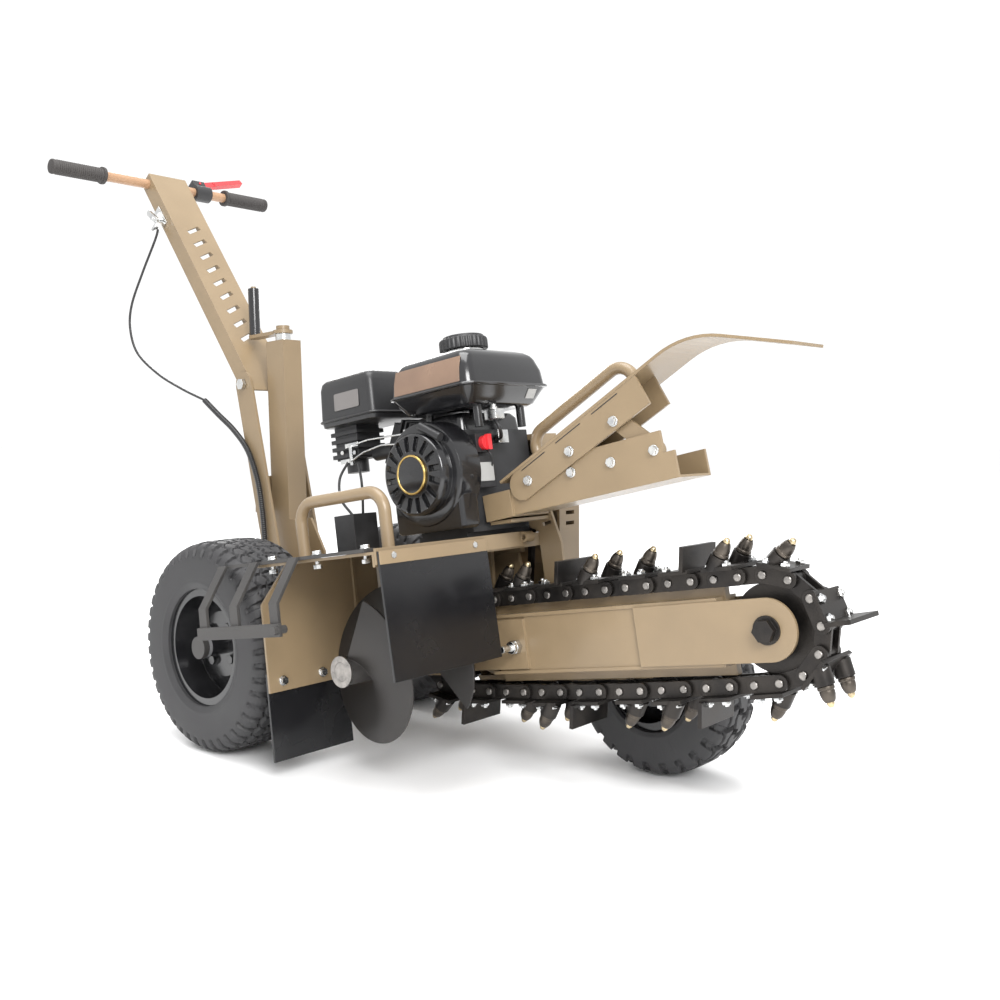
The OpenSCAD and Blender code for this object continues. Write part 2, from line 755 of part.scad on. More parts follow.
// Drive chain as a plain band round both sprockets
module drive_chain() {
    a = [head_u, head_w];
    b = [crank_u, crank_w];
    run = norm(b - a);
    turn = atan2(b[1] - a[1], b[0] - a[0]);
    color(dark_steel) on_deck() translate([head_u, 140, head_w]) rotate([90, 0, 0]) rotate(turn)
        linear_extrude(10) difference() {
            polygon(band_outline(64, 42, run));
            polygon(band_outline(54, 32, run));
        }
}

// Outline of a band round two discs that lie run apart
function band_outline(r0, r1, run) = let (lean = acos((r0 - r1) / run)) concat(
    [for (i = [0:20]) let (a = lean + i * (360 - 2 * lean) / 20) r0 * [cos(a), sin(a)]],
    [for (i = [0:12]) let (a = -lean + i * lean / 6) [run, 0] + r1 * [cos(a), sin(a)]]);

module clutch_drum() {
    color(zinc) on_deck() translate([crank_u, 0, crank_w]) {
        bar_y(20, 96 + gap, 152);
        bar_y(62, 131, 139);
        bar_y(98, 108, 126);
    }
}

// Box tube of the boom with its head arms, pivot sleeves, rails and nose plates
module boom_tube() {
    half = boom_w / 2;
    rail_z = pin_r - roller_r - chain_seat;
    tube_end = boom_l - pin_r;
    pin = [lever_l * cos(lever_a + deck_pitch - boom_pitch),
           lever_l * sin(lever_a + deck_pitch - boom_pitch)];
    color(tan_paint) on_boom() difference() {
        union() {
            difference() {
                box([125, -half, -boom_h / 2], [tube_end, half, boom_h / 2]);
                box([100, -half + boom_wall, -boom_h / 2 + boom_wall],
                    [tube_end + 10, half - boom_wall, boom_h / 2 - boom_wall]);
            }
            for (s = [-1, 1]) {
                y = s * (half + arm_plate / 2) - arm_plate / 2;
                tongue(0, 196, 44, y, arm_plate);
                tongue(boom_l, boom_l - 236, boom_h / 2, y, arm_plate);
                translate([0, 0, s * (boom_h / 2 + 2)])
                    box([110, -half - 2, -3], [tube_end, half + 2, 3]);
                box([112, -7, min(s * 40, s * rail_z)], [tube_end + 4, 7, max(s * 40, s * rail_z)]);
            }
            bar_y(2 * sleeve_r, -head_plate_y - plate_t, -half);
            bar_y(2 * sleeve_r, half, lever_y + 6);
            strap([0, 0], pin, 18, lever_y, 6);
            translate([pin[0], 0, pin[1]]) bar_y(12, lever_y + 2, lever_y + 18);
            crumber_bracket();
        }
        bar_y(shaft_d + 2 * fit, -200, 200);
        translate([boom_l, 0, 0]) bar_y(20 + 2 * fit, -200, 200);
        translate([176, 0, -4]) bar_y(12 + 2 * fit, -200, 0);
        box([120, -half + boom_wall, -boom_h / 2 + boom_wall],
            [tube_end - 20, half - boom_wall, boom_h / 2 - boom_wall]);
    }
}

crumber_s = 162;
crumber_h = 222;
// Plate on the boom's left side that carries the trench cleaner over the chain
module crumber_bracket() {
    half = boom_w / 2;
    box([150, half, -30], [212, 66, 30]);
    difference() {
        plate([[150, -30], [212, -30], [230, 90], [232, 170], [212, 250], [crumber_s, 250],
               [crumber_s, 205], [182, 196], [182, 80]], 60, 6);
        translate([205, 0, 208]) rotate([0, -8, 0]) cube([20, 200, 7], center = true);
    }
    box([crumber_s, -48, crumber_h - 6], [212, 62, crumber_h]);
}

// Nose roller, running on its bolt between the nose plates
module nose_roller() {
    color(dark_steel) on_boom() translate([boom_l, 0, 0]) difference() {
        union() {
            bar_y(2 * (pin_r - roller_r - chain_seat), -8, 8);
            bar_y(60, -24, 24);
        }
        bar_y(20 + 2 * fit, -40, 40);
    }
}

module nose_bolt() {
    half = boom_w / 2 + arm_plate;
    color(dark_steel) on_boom() translate([boom_l, 0, 0]) {
        bar_y(20, -half - 1, half + 1);
        for (s = [-1, 1]) translate([0, s * (half + 8 + gap), 0]) rotate([90, 0, 0])
            cylinder(d = 36, h = 16, center = true, $fn = 6);
        translate([0, -half - gap, 0]) bar_y(44, -3, 0);
    }
}

// Grease-type chain tensioner stud with its lock nut on the boom's right face
module chain_tensioner() {
    half = boom_w / 2 + arm_plate;
    color(zinc) on_boom() translate([176, 0, -4]) {
        bar_y(12, -half - 42, -half + 8);
        translate([0, -half - gap, 0]) rotate([90, 0, 0]) cylinder(d = 26, h = 11, $fn = 6);
        bar_y(22, -half - 18, -half - 11);
    }
}

// Place of chain pin number i on the loop, upper run first
function pin_at(i) = let (k = i % link_count)
    k <= run_links ? [k * chain_pitch, pin_r]
    : k <= run_links + 6 ? [boom_l + pin_r * sin(30 * (k - run_links)),
        pin_r * cos(30 * (k - run_links))]
    : k <= 2 * run_links + 6 ? let (t = (k - run_links - 6) / run_links)
        [boom_l * (1 - t), -pin_r - chain_sag * 4 * t * (1 - t)]
    : [-pin_r * sin(30 * (k - 2 * run_links - 6)), -pin_r * cos(30 * (k - 2 * run_links - 6))];

// Frame of the link that starts at pin i: x along the link, z outwards
module at_link(i) {
    a = pin_at(i);
    b = pin_at(i + 1);
    turn = atan2(b[1] - a[1], b[0] - a[0]);
    mid = (a + b) / 2;
    translate([mid[0], 0, mid[1]]) rotate([0, -turn, 0]) children();
}

module link_plate(y, t) {
    strap([-chain_pitch / 2, 0], [chain_pitch / 2, 0], link_h / 2, y, t);
}

// Outer links: two plates joined by their pins
module outer_links() {
    color(dark_steel) on_boom() for (i = [0:2:link_count - 2]) at_link(i) {
        for (y = [-24, 18]) link_plate(y, 6);
        for (s = [-1, 1]) translate([s * chain_pitch / 2, 0, 0]) bar_y(pin_d, -26, 26);
    }
}

// Inner links: two plates joined by their bushes, free on the pins
module inner_links() {
    color(dark_steel) on_boom() for (i = [1:2:link_count - 1]) at_link(i) difference() {
        union() {
            for (y = [-17.5, 11.5]) link_plate(y, 6);
            for (s = [-1, 1]) translate([s * chain_pitch / 2, 0, 0]) bar_y(2 * roller_r, -12, 12);
        }
        for (s = [-1, 1]) translate([s * chain_pitch / 2, 0, 0]) bar_y(pin_d + 0.8, -30, 30);
    }
}

base_z = link_h / 2 + 0.1;
base_t = 6;
// Links that carry each kind of tooth: every outer link takes one, in turn
function tooth_links(kind) = [for (k = [0:link_count / 2 - 1]) if (k % 3 == kind) 2 * k];

// Base plate bolted over an outer link
module base_plate(half_w) {
    box([-27, -half_w, base_z], [27, half_w, base_z + base_t]);
    for (x = [-15, 15], y = [-half_w + 9, half_w - 9]) translate([x, y, base_z + base_t])
        cylinder(d = 14, h = 5, $fn = 6);
}

// Cup plates: a wide blade that carries the spoil out of the trench
module cup_plates() {
    color(dark_steel) on_boom() for (i = tooth_links(0)) at_link(i) {
        base_plate(42);
        translate([18, 0, base_z + base_t - 1]) rotate([0, 12, 0])
            box([0, -51, 0], [7, 51, 40]);
    }
}

bit_r = 10;
bit_tilt = 36;
holder_l = 26;
// Places of the conical bits on one base plate, by kind of tooth
function bit_spots(kind, k) = kind == 1 ? [-36, 36] : [k % 2 == 0 ? -14 : 14];

// Base plates and the forged sockets that hold the conical bits
module bit_holders() {
    color(dark_steel) on_boom() for (kind = [1, 2]) for (i = tooth_links(kind)) at_link(i)
        difference() {
            union() {
                base_plate(kind == 1 ? 50 : 34);
                for (y = bit_spots(kind, i / 2)) bit_place(y) cylinder(d = 30, h = holder_l);
            }
            for (y = bit_spots(kind, i / 2)) bit_place(y)
                translate([0, 0, 8]) cylinder(r = bit_r + fit, h = 60);
            box([-60, -60, -60], [60, 60, base_z]);
        }
}

module bit_place(y) {
    translate([-12, y, base_z + base_t - 5]) rotate([0, bit_tilt, 0]) children();
}

module bits() {
    color([0.30, 0.28, 0.25]) on_boom() for (kind = [1, 2]) for (i = tooth_links(kind))
        at_link(i) for (y = bit_spots(kind, i / 2)) bit_place(y) {
            translate([0, 0, 8]) cylinder(r = bit_r, h = holder_l - 8 + 1);
            translate([0, 0, holder_l + 1]) cylinder(r = 13, h = 5);
            translate([0, 0, holder_l + 6]) cylinder(r1 = 12, r2 = 8, h = 18);
            translate([0, 0, holder_l + 24]) cylinder(r1 = 6, r2 = 2, h = 8);
        }
}

// Crankcase on its feet, finned cylinder to the rear, switch box in front and the small
// control box on the deck behind it
module engine_block() {
    color(gloss_black) on_deck() {
        box([crank_u - 80, -86, engine_z], [crank_u + 44, 92, engine_z + 14]);
        box([crank_u - 72, -86, engine_z + 13], [crank_u + 60, 96, crank_w + 72]);
        translate([crank_u - 40, 0, crank_w + 15]) rotate([0, -62, 0]) {
            translate([-40, -50, 20]) cube([80, 100, 100]);
            for (k = [0:6]) translate([-56, -62, 42 + 12 * k]) cube([112, 124, 4]);
            translate([-42, -56, 118]) cube([84, 112, 22]);
        }
        box([crank_u + 59, -85, crank_w - 36], [crank_u + 84, -34, crank_w + 20]);
        box([crank_u + 59, -75, crank_w + 28], [crank_u + 80, -38, crank_w + 62]);
        translate([carb_u + 42 + gap, -50, 336]) rotate([0, 90, 0])
            cylinder(d = 30, h = crank_u - 156 - carb_u - 42);
        box([212, -138, engine_z], [268, -78, engine_z + 76]);
    }
}

// Pressed shroud with the pull starter's louvred cover
module recoil_housing() {
    color(gloss_black) on_deck() translate([crank_u, 0, crank_w]) difference() {
        union() {
            bar_y(2 * recoil_r, recoil_y + 26, -86 - gap);
            box([-recoil_r + 4, recoil_y + 30, -recoil_r - 10], [recoil_r - 10, -86 - gap, 0]);
            bar_y(148, recoil_y, recoil_y + 30);
            bar_y(72, recoil_y - 5, recoil_y + 5);
        }
        bar_y(2 * recoil_r - 14, recoil_y + 34, -80);
        for (i = [0:13]) rotate([0, 360 * i / 14, 0]) translate([42, recoil_y - 1, -4])
            rotate([0, 24, 0]) cube([26, 12, 8]);
    }
}

// Pull handle that rests against the starter's cover
module recoil_handle() {
    reach = 74 + 8 + 2 * gap;
    color(gloss_black) on_deck()
        translate([crank_u + reach * cos(60), recoil_y + 15, crank_w + reach * sin(60)])
            rotate([0, -60, 0]) cylinder(d = 16, h = 54, center = true);
}

// Tank with a waist seam and rounded upright corners
module fuel_tank() {
    color(gloss_black) on_deck() translate([tank_u, -26, tank_z]) {
        difference() {
            union() {
                rounded_box(tank_l, tank_w, 0, tank_h - 18, 26);
                rounded_box(tank_l - 24, tank_w - 24, tank_h - 19, tank_h, 20);
                rounded_box(tank_l + 12, tank_w + 12, 32, 37, 30);
                translate([0, 0, tank_h - 1]) cylinder(d = 70, h = 12);
            }
            rounded_box(tank_l - 8, tank_w - 8, 4, tank_h - 22, 22);
            translate([0, 0, tank_h - 30]) cylinder(d = 38, h = 60);
        }
        for (u = [-60, 60], y = [-50, 70]) translate([u, y, crank_w + 72 + gap - tank_z])
            cylinder(d = 16, h = tank_z - crank_w - 72 - gap + 1);
    }
}

// Upright block with round corners between two heights
module rounded_box(l, w, z0, z1, r) {
    translate([0, 0, z0]) linear_extrude(z1 - z0) union() {
        square([l - 2 * r, w], center = true);
        square([l, w - 2 * r], center = true);
        for (x = [-1, 1], y = [-1, 1]) translate([x * (l / 2 - r), y * (w / 2 - r)]) circle(r);
    }
}

module fuel_cap() {
    color(gloss_black) on_deck() translate([tank_u, -26, tank_z + tank_h + 11 + gap]) {
        cylinder(d = cap_d, h = 22);
        translate([0, 0, 21]) cylinder(d = cap_d - 12, h = 5);
        translate([0, 0, -14]) cylinder(d = 38 - 4 * fit, h = 15);
    }
}

module air_box() {
    color(gloss_black) on_deck() translate([carb_u + 39, -46, 396]) {
        rounded_box(158, 150, 0, 96, 16);
        rounded_box(166, 158, 10, 15, 18);
    }
}

// Carburettor and ribbed inlet duct under the air box
module carburettor() {
    color(gloss_black) on_deck() translate([carb_u, -62, 0]) {
        box([-30, -30, 330], [36, 30, 396 - gap]);
        for (k = [0:3]) box([-36, -36, 334 + 15 * k], [42, 36, 342 + 15 * k]);
        translate([-4, 0, 304]) cylinder(d = 44, h = 28);
    }
}

module muffler() {
    color(dark_steel) on_deck() {
        translate([330, 78, 396]) rotate([0, 0, 0]) rounded_box(110, 64, 0, 92, 20);
        translate([338, 48, 390 + gap]) cylinder(d = 26, h = 7);
        translate([330, 110, 440]) bar_y(24, -2, 34);
    }
}

// Red on-off knob, turning about an axis along the deck
module engine_switch() {
    color([0.88, 0.27, 0.16]) on_deck() translate([crank_u + 80 + gap, -56, crank_w + 45])
        rotate([0, 90, 0]) {
            cylinder(d = 26, h = 10);
            translate([-14, -5, 9]) cube([28, 10, 8]);
        }
}

// Lower bar of the trench cleaner, its side plate and the link to the arm
module crumber_bar() {
    color(tan_paint) crumber_frame() {
        difference() {
            box([0, -52, 0], [350, 46, 44]);
            box([-1, -47, 4], [351, 41, 60]);
        }
        box([-60, -58, -2], [4, -51, 46]);
        box([-60, -57, -2], [2, 46, 2]);
        difference() {
            box([90, -52, 43], [330, -46, 80]);
            crumber_bolt_places() cylinder(d = 8 + 2 * fit, h = 60, center = true);
        }
        difference() {
            strap([251, 113], [314, 51], 16, -46 + gap, 5);
            crumber_bolt_places() cylinder(d = 8 + 2 * fit, h = 60, center = true);
        }
    }
}

// Frame of the trench cleaner's lower bar
module crumber_frame() {
    on_boom() translate([crumber_s + 60, 0, crumber_h + gap + 5.2]) rotate([0, -3, 0]) children();
}

// Upper arm with rails, the curved shoe plate and its grab handle
module crumber_arm() {
    color(tan_paint) crumber_frame() difference() {
        translate([14, 0, 47]) rotate([0, -20, 0]) {
            for (y = [-52 - 5 - gap, 0]) translate([0, 0, -6]) tongue(20, 320, 27, y, 5);
            plate(shoe_outline(372, 170, 41, 118, 5), -58, 105);
            translate([20, 32, 25]) hoop(250, 66, 34, 22);
        }
        crumber_bolt_places() cylinder(d = 8 + 2 * fit, h = 60, center = true);
    }
}

// Side outline of the shoe: a straight run, an arc that turns down, then a flat run
function shoe_outline(run, r, turn, tail, t) = let (
    arc = function(q) [for (i = [0:8]) let (a = turn * i / 8)
        [run + q * sin(a), 26 - r + q * cos(a)]],
    tip = tail * [cos(turn), -sin(turn)],
    outer = arc(r),
    inner = arc(r - t))
    concat([[-20, 26]], outer, [outer[8] + tip, inner[8] + tip], [for (i = [8:-1:0]) inner[i]],
        [[-20, 26 - t]]);

// Cross bolts of the trench cleaner: x, z and whether each one is on the arm's rail
crumber_bolt_list = [[144, 49, 0], [228, 49, 0], [314, 51, 0], [251, 113, 1], [52, 53, 1], [152, 84, 1]];

module crumber_bolt_places() {
    for (p = crumber_bolt_list) translate([p[0], -52 - gap - p[2] * (5 + gap), p[1]])
        rotate([90, 0, 0]) children();
}

// Plated bolts through the trench cleaner's plates
module crumber_bolts() {
    color(zinc) crumber_frame() crumber_bolt_places() bolt(8, 5);
}

module crumber_spring() {
    color(rubber_black) crumber_frame() translate([100, -24, 4 + gap]) {
        cylinder(d = 20, h = 90.6);
        for (k = [0:9]) translate([0, 0, 2 + 8.6 * k]) cylinder(d = 28, h = 4.5);
    }
}

// Plated bolts and screws on the chassis, with the handle's fold bolt
module bolts() {
    color(zinc) fold_bolt();
    color(zinc) on_deck() {
        frame_bolt_places() translate([0, 0, gap]) {
            bolt(8, 24);
            translate([0, 0, -24]) cylinder(d = 15, h = 7, $fn = 6);
        }
        panel_bolt_places() translate([0, 0, gap]) bolt(8, 16);
        beam_screw_places() translate([0, 0, 2 * gap + 5]) bolt(6, 14);
    }
}

chassis();
main_axle();
right_rim();
right_tyre();
left_rim();
left_tyre();
front_axle_bolt();
front_rim();
front_tyre();
jack_post();
jack_screw();
jack_crank();
crank_grip();
lift_rocker();
lift_link();
mast();
handle_arm();
handlebar();
handle_grips();
lever_clamp();
clutch_lever();
cable_bracket();
clutch_cable();
wiring_loom();
hoop_handle();
side_guard();
rear_flap();
front_beam();
front_flap();
drive_guard();
head_shaft();
head_sprocket();
head_bearings();
auger();
driven_sprocket();
drive_chain();
clutch_drum();
boom_tube();
nose_roller();
nose_bolt();
chain_tensioner();
outer_links();
inner_links();
cup_plates();
bit_holders();
bits();
engine_block();
recoil_housing();
recoil_handle();
fuel_tank();
fuel_cap();
air_box();
carburettor();
muffler();
engine_switch();
crumber_bar();
crumber_arm();
crumber_bolts();
crumber_spring();
bolts();
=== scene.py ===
"""Walk-behind trencher: a tilting chain boom, spoil auger and petrol engine on a pitched deck."""
import bpy
import numpy as np
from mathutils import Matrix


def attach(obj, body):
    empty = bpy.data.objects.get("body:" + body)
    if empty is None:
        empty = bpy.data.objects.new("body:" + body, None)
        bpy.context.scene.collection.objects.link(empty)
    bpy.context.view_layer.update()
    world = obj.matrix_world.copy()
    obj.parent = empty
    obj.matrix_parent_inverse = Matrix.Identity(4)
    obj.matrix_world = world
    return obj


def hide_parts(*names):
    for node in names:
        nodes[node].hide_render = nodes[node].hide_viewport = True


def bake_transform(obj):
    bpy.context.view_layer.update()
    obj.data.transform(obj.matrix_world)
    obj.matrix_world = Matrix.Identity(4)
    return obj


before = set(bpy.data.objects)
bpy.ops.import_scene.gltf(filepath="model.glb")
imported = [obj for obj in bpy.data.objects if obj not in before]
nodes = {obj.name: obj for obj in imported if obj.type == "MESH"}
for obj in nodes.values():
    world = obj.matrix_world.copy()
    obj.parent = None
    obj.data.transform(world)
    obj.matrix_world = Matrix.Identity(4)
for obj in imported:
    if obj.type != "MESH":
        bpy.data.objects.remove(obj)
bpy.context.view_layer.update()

# --- Camera and studio --------------------------------------------------------------------------
# A photographer's view from the machine's front right, at about hip height. The lens is moved
# down a little so that upright edges stay upright. A white room and two large soft lamps.
eye = np.array([1.553, -1.466, 0.632])
heading = np.array([-0.656, 0.755, 0.0])


def turned_to(obj, direction):
    """Turn an object so that its own -Z looks along the direction."""
    from mathutils import Vector
    obj.rotation_euler = Vector(direction).to_track_quat("-Z", "Y").to_euler()


camera = bpy.data.objects.new("camera", bpy.data.cameras.new("camera"))
bpy.context.scene.collection.objects.link(camera)
camera.location = eye
turned_to(camera, heading)
camera.data.lens = 38.7
camera.data.sensor_width = 36
camera.data.shift_y = -0.075
camera.data.clip_end = 60
bpy.context.scene.camera = camera


def soft_lamp(name, place, size, watts):
    """A square area lamp aimed at the middle of the machine."""
    lamp = bpy.data.objects.new(name, bpy.data.lights.new(name, "AREA"))
    bpy.context.scene.collection.objects.link(lamp)
    lamp.data.size = size
    lamp.data.energy = watts
    lamp.location = place
    turned_to(lamp, np.array([0.0, 0.0, 0.5]) - np.array(place))


soft_lamp("key_lamp", (3.2, -2.0, 2.6), 1.8, 170)
soft_lamp("top_lamp", (0.2, -0.4, 4.0), 2.6, 120)
soft_lamp("rim_lamp", (-3.2, 2.2, 2.2), 2.0, 70)

world = bpy.data.worlds.new("studio")
bpy.context.scene.world = world
world.use_nodes = True
world.node_tree.nodes["Background"].inputs["Color"].default_value = (1, 1, 1, 1)
world.node_tree.nodes["Background"].inputs["Strength"].default_value = 1.0
bpy.context.scene.view_settings.view_transform = "Standard"
bpy.context.scene.view_settings.exposure = 0.12

floor_mesh = bpy.data.meshes.new("floor")
floor_mesh.from_pydata([(-30, -30, 0), (30, -30, 0), (30, 30, 0), (-30, 30, 0)], [], [(0, 1, 2, 3)])
floor = bpy.data.objects.new("floor", floor_mesh)
bpy.context.scene.collection.objects.link(floor)
floor_paper = bpy.data.materials.new("floor_paper")
floor_paper.use_nodes = True
paper = floor_paper.node_tree.nodes["Principled BSDF"]
paper.inputs["Base Color"].default_value = (0.93, 0.93, 0.93, 1)
paper.inputs["Roughness"].default_value = 0.7
floor_mesh.materials.append(floor_paper)

# --- Sand-coloured paint on the welded steelwork ------------------------------------------------
# Powder coat on folded and welded plate: a fine orange-peel skin, slightly uneven in tone, with
# dust in it. It covers the deck, post, mast, handle channel, boom and trench cleaner.


def group_socket(tree, name, kind, way, value=None):
    """Add one named socket to a node group."""
    socket = tree.interface.new_socket(name=name, in_out=way, socket_type=kind)
    if value is not None:
        socket.default_value = value
    return socket


def make_skin_group():
    """Node group: cloudy tone mask and a bumped normal with softened edges."""
    tree = bpy.data.node_groups.new("skin", "ShaderNodeTree")
    group_socket(tree, "Cloud Scale", "NodeSocketFloat", "INPUT", 6.0)
    group_socket(tree, "Grain Scale", "NodeSocketFloat", "INPUT", 900.0)
    group_socket(tree, "Bump", "NodeSocketFloat", "INPUT", 0.08)
    group_socket(tree, "Cloud", "NodeSocketFloat", "OUTPUT")
    group_socket(tree, "Grain", "NodeSocketFloat", "OUTPUT")
    group_socket(tree, "Normal", "NodeSocketVector", "OUTPUT")
    inside = tree.nodes.new("NodeGroupInput")
    outside = tree.nodes.new("NodeGroupOutput")
    coords = tree.nodes.new("ShaderNodeTexCoord")
    cloud = tree.nodes.new("ShaderNodeTexNoise")
    cloud.inputs["Detail"].default_value = 5
    grain = tree.nodes.new("ShaderNodeTexNoise")
    grain.inputs["Detail"].default_value = 2
    bump = tree.nodes.new("ShaderNodeBump")
    bump.inputs["Distance"].default_value = 0.001
    soft = tree.nodes.new("ShaderNodeBevel")
    soft.samples = 4
    soft.inputs["Radius"].default_value = 0.0014
    link = tree.links.new
    link(coords.outputs["Object"], cloud.inputs["Vector"])
    link(coords.outputs["Object"], grain.inputs["Vector"])
    link(inside.outputs["Cloud Scale"], cloud.inputs["Scale"])
    link(inside.outputs["Grain Scale"], grain.inputs["Scale"])
    link(inside.outputs["Bump"], bump.inputs["Strength"])
    link(grain.outputs["Fac"], bump.inputs["Height"])
    link(soft.outputs["Normal"], bump.inputs["Normal"])
    link(cloud.outputs["Fac"], outside.inputs["Cloud"])
    link(grain.outputs["Fac"], outside.inputs["Grain"])
    link(bump.outputs["Normal"], outside.inputs["Normal"])
    return tree


skin_group = make_skin_group()


def finish_of(name, light, dark, rough, metallic=0.0, coat=0.0, cloud_scale=6.0, grain_scale=900.0,
              bump=0.08):
    """A material that drifts between two tones and two roughnesses over the skin group's cloud."""
    mat = bpy.data.materials.new(name)
    mat.use_nodes = True
    tree = mat.node_tree
    shader = tree.nodes["Principled BSDF"]
    skin = tree.nodes.new("ShaderNodeGroup")
    skin.node_tree = skin_group
    skin.inputs["Cloud Scale"].default_value = cloud_scale
    skin.inputs["Grain Scale"].default_value = grain_scale
    skin.inputs["Bump"].default_value = bump
    tone = tree.nodes.new("ShaderNodeValToRGB")
    tone.color_ramp.elements[0].position = 0.35
    tone.color_ramp.elements[0].color = (*dark, 1)
    tone.color_ramp.elements[1].position = 0.65
    tone.color_ramp.elements[1].color = (*light, 1)
    sheen = tree.nodes.new("ShaderNodeMapRange")
    sheen.inputs["From Min"].default_value = 0.3
    sheen.inputs["From Max"].default_value = 0.7
    sheen.inputs["To Min"].default_value = rough[0]
    sheen.inputs["To Max"].default_value = rough[1]
    tree.links.new(skin.outputs["Cloud"], tone.inputs["Fac"])
    tree.links.new(skin.outputs["Cloud"], sheen.inputs["Value"])
    tree.links.new(tone.outputs["Color"], shader.inputs["Base Color"])
    tree.links.new(sheen.outputs["Result"], shader.inputs["Roughness"])
    tree.links.new(skin.outputs["Normal"], shader.inputs["Normal"])
    shader.inputs["Metallic"].default_value = metallic
    shader.inputs["Coat Weight"].default_value = coat
    shader.inputs["Coat Roughness"].default_value = 0.12
    return mat


def dress(material, *names):
    """Give CAD nodes one material."""
    for name in names:
        mesh = nodes[name].data
        mesh.materials.clear()
        mesh.materials.append(material)


sand_paint = finish_of("sand_paint", (0.236, 0.172, 0.100), (0.206, 0.149, 0.086), (0.32, 0.44),
                       coat=0.15, bump=0.10)
dress(sand_paint, "chassis", "jack_post", "jack_crank", "mast", "handle_arm", "hoop_handle",
      "front_beam", "drive_guard", "boom_tube", "crumber_bar", "crumber_arm")

# --- Other steelwork, castings and plastics -----------------------------------------------------
# Blackened chain and auger steel, dull grey guard bars, bright zinc on the fixings, gloss black
# on the engine's sheet metal, satin moulded plastic and plain rubber.
chain_steel = finish_of("chain_steel", (0.042, 0.037, 0.033), (0.023, 0.021, 0.020), (0.28, 0.48),
                        metallic=0.75, cloud_scale=22, grain_scale=500, bump=0.25)
auger_steel = finish_of("auger_steel", (0.026, 0.023, 0.021), (0.019, 0.017, 0.016), (0.36, 0.50),
                        metallic=0.2, cloud_scale=9, grain_scale=1200, bump=0.06)
bar_steel = finish_of("bar_steel", (0.058, 0.055, 0.053), (0.042, 0.040, 0.039), (0.38, 0.52),
                      metallic=0.3, cloud_scale=12)
zinc_plate = finish_of("zinc_plate", (0.72, 0.72, 0.70), (0.55, 0.56, 0.57), (0.16, 0.32),
                       metallic=1.0, cloud_scale=60, grain_scale=1500, bump=0.05)
worn_steel = finish_of("worn_steel", (0.34, 0.32, 0.30), (0.20, 0.19, 0.18), (0.26, 0.42),
                       metallic=1.0, cloud_scale=80, grain_scale=900, bump=0.1)
gloss_black = finish_of("gloss_black", (0.011, 0.011, 0.012), (0.008, 0.008, 0.009), (0.15, 0.22),
                        coat=0.35, bump=0.03)
black_plastic = finish_of("black_plastic", (0.022, 0.022, 0.023), (0.015, 0.015, 0.016),
                          (0.34, 0.44), grain_scale=1600, bump=0.12)
flap_rubber = finish_of("flap_rubber", (0.009, 0.009, 0.010), (0.006, 0.006, 0.007), (0.20, 0.32),
                        cloud_scale=7, grain_scale=300, bump=0.05)
tyre_rubber = finish_of("tyre_rubber", (0.033, 0.032, 0.034), (0.022, 0.022, 0.023), (0.50, 0.68),
                        cloud_scale=14, grain_scale=700, bump=0.2)
grip_rubber = finish_of("grip_rubber", (0.038, 0.034, 0.032), (0.028, 0.025, 0.024), (0.55, 0.7),
                        grain_scale=1500, bump=0.2)
copper_paint = finish_of("copper_paint", (0.36, 0.215, 0.125), (0.31, 0.18, 0.10), (0.28, 0.38),
                         coat=0.2)
red_plastic = finish_of("red_plastic", (0.66, 0.03, 0.035), (0.58, 0.02, 0.028), (0.25, 0.34),
                        coat=0.2, bump=0.03)
cast_alloy = finish_of("cast_alloy", (0.035, 0.035, 0.037), (0.025, 0.025, 0.026), (0.4, 0.55),
                       metallic=0.3, cloud_scale=30, grain_scale=600, bump=0.3)
dress(chain_steel, "head_sprocket", "driven_sprocket", "drive_chain", "nose_roller",
      "outer_links", "inner_links", "cup_plates", "bit_holders", "bits", "nose_bolt")
dress(auger_steel, "auger", "head_bearings", "lift_rocker", "lift_link", "muffler")
dress(bar_steel, "side_guard", "main_axle")
dress(zinc_plate, "front_axle_bolt", "jack_screw", "cable_bracket",
      "clutch_drum", "chain_tensioner", "bolts", "crumber_bolts")
dress(worn_steel, "head_shaft")
dress(gloss_black, "right_rim", "left_rim", "front_rim", "fuel_tank", "crank_grip")
dress(black_plastic, "recoil_housing", "recoil_handle", "fuel_cap", "air_box", "lever_clamp",
      "wiring_loom", "clutch_cable", "crumber_spring")
dress(flap_rubber, "rear_flap", "front_flap")
dress(tyre_rubber, "right_tyre", "left_tyre", "front_tyre")
dress(grip_rubber, "handle_grips")
dress(copper_paint, "handlebar")
dress(red_plastic, "clutch_lever", "engine_switch")
dress(cast_alloy, "engine_block", "carburettor")

# --- Main tyres ---------------------------------------------------------------------------------
# Two 406 mm garden-tractor tyres, 165 mm wide, with a squared shoulder and a block tread cut by
# two rings of grooves. Raised plain rings and short bars stand on the sidewalls.


def pitched(points, at, nose_up):
    """Points turned nose up about Y by an angle in degrees, then moved to a place."""
    a = np.radians(nose_up)
    x, y, z = np.moveaxis(np.asarray(points, float), -1, 0)
    return np.stack([x * np.cos(a) - z * np.sin(a) + at[0], y + at[1],
                     x * np.sin(a) + z * np.cos(a) + at[2]], -1)


def on_deck(points):
    """Millimetres along, across and square to the deck, from the main axle, in the row frame."""
    return pitched(points, (-242.6, 43.5, 203.0), 9.0) / 1000


def grid_faces(rows, cols, close_rows=False, close_cols=False):
    """Quads of a grid numbered row by row, closed on itself either way if asked."""
    r = np.arange(rows if close_rows else rows - 1)[:, None]
    c = np.arange(cols if close_cols else cols - 1)[None, :]
    r1, c1 = (r + 1) % rows, (c + 1) % cols
    return np.stack([r * cols + c, r * cols + c1, r1 * cols + c1, r1 * cols + c], -1).reshape(-1, 4)


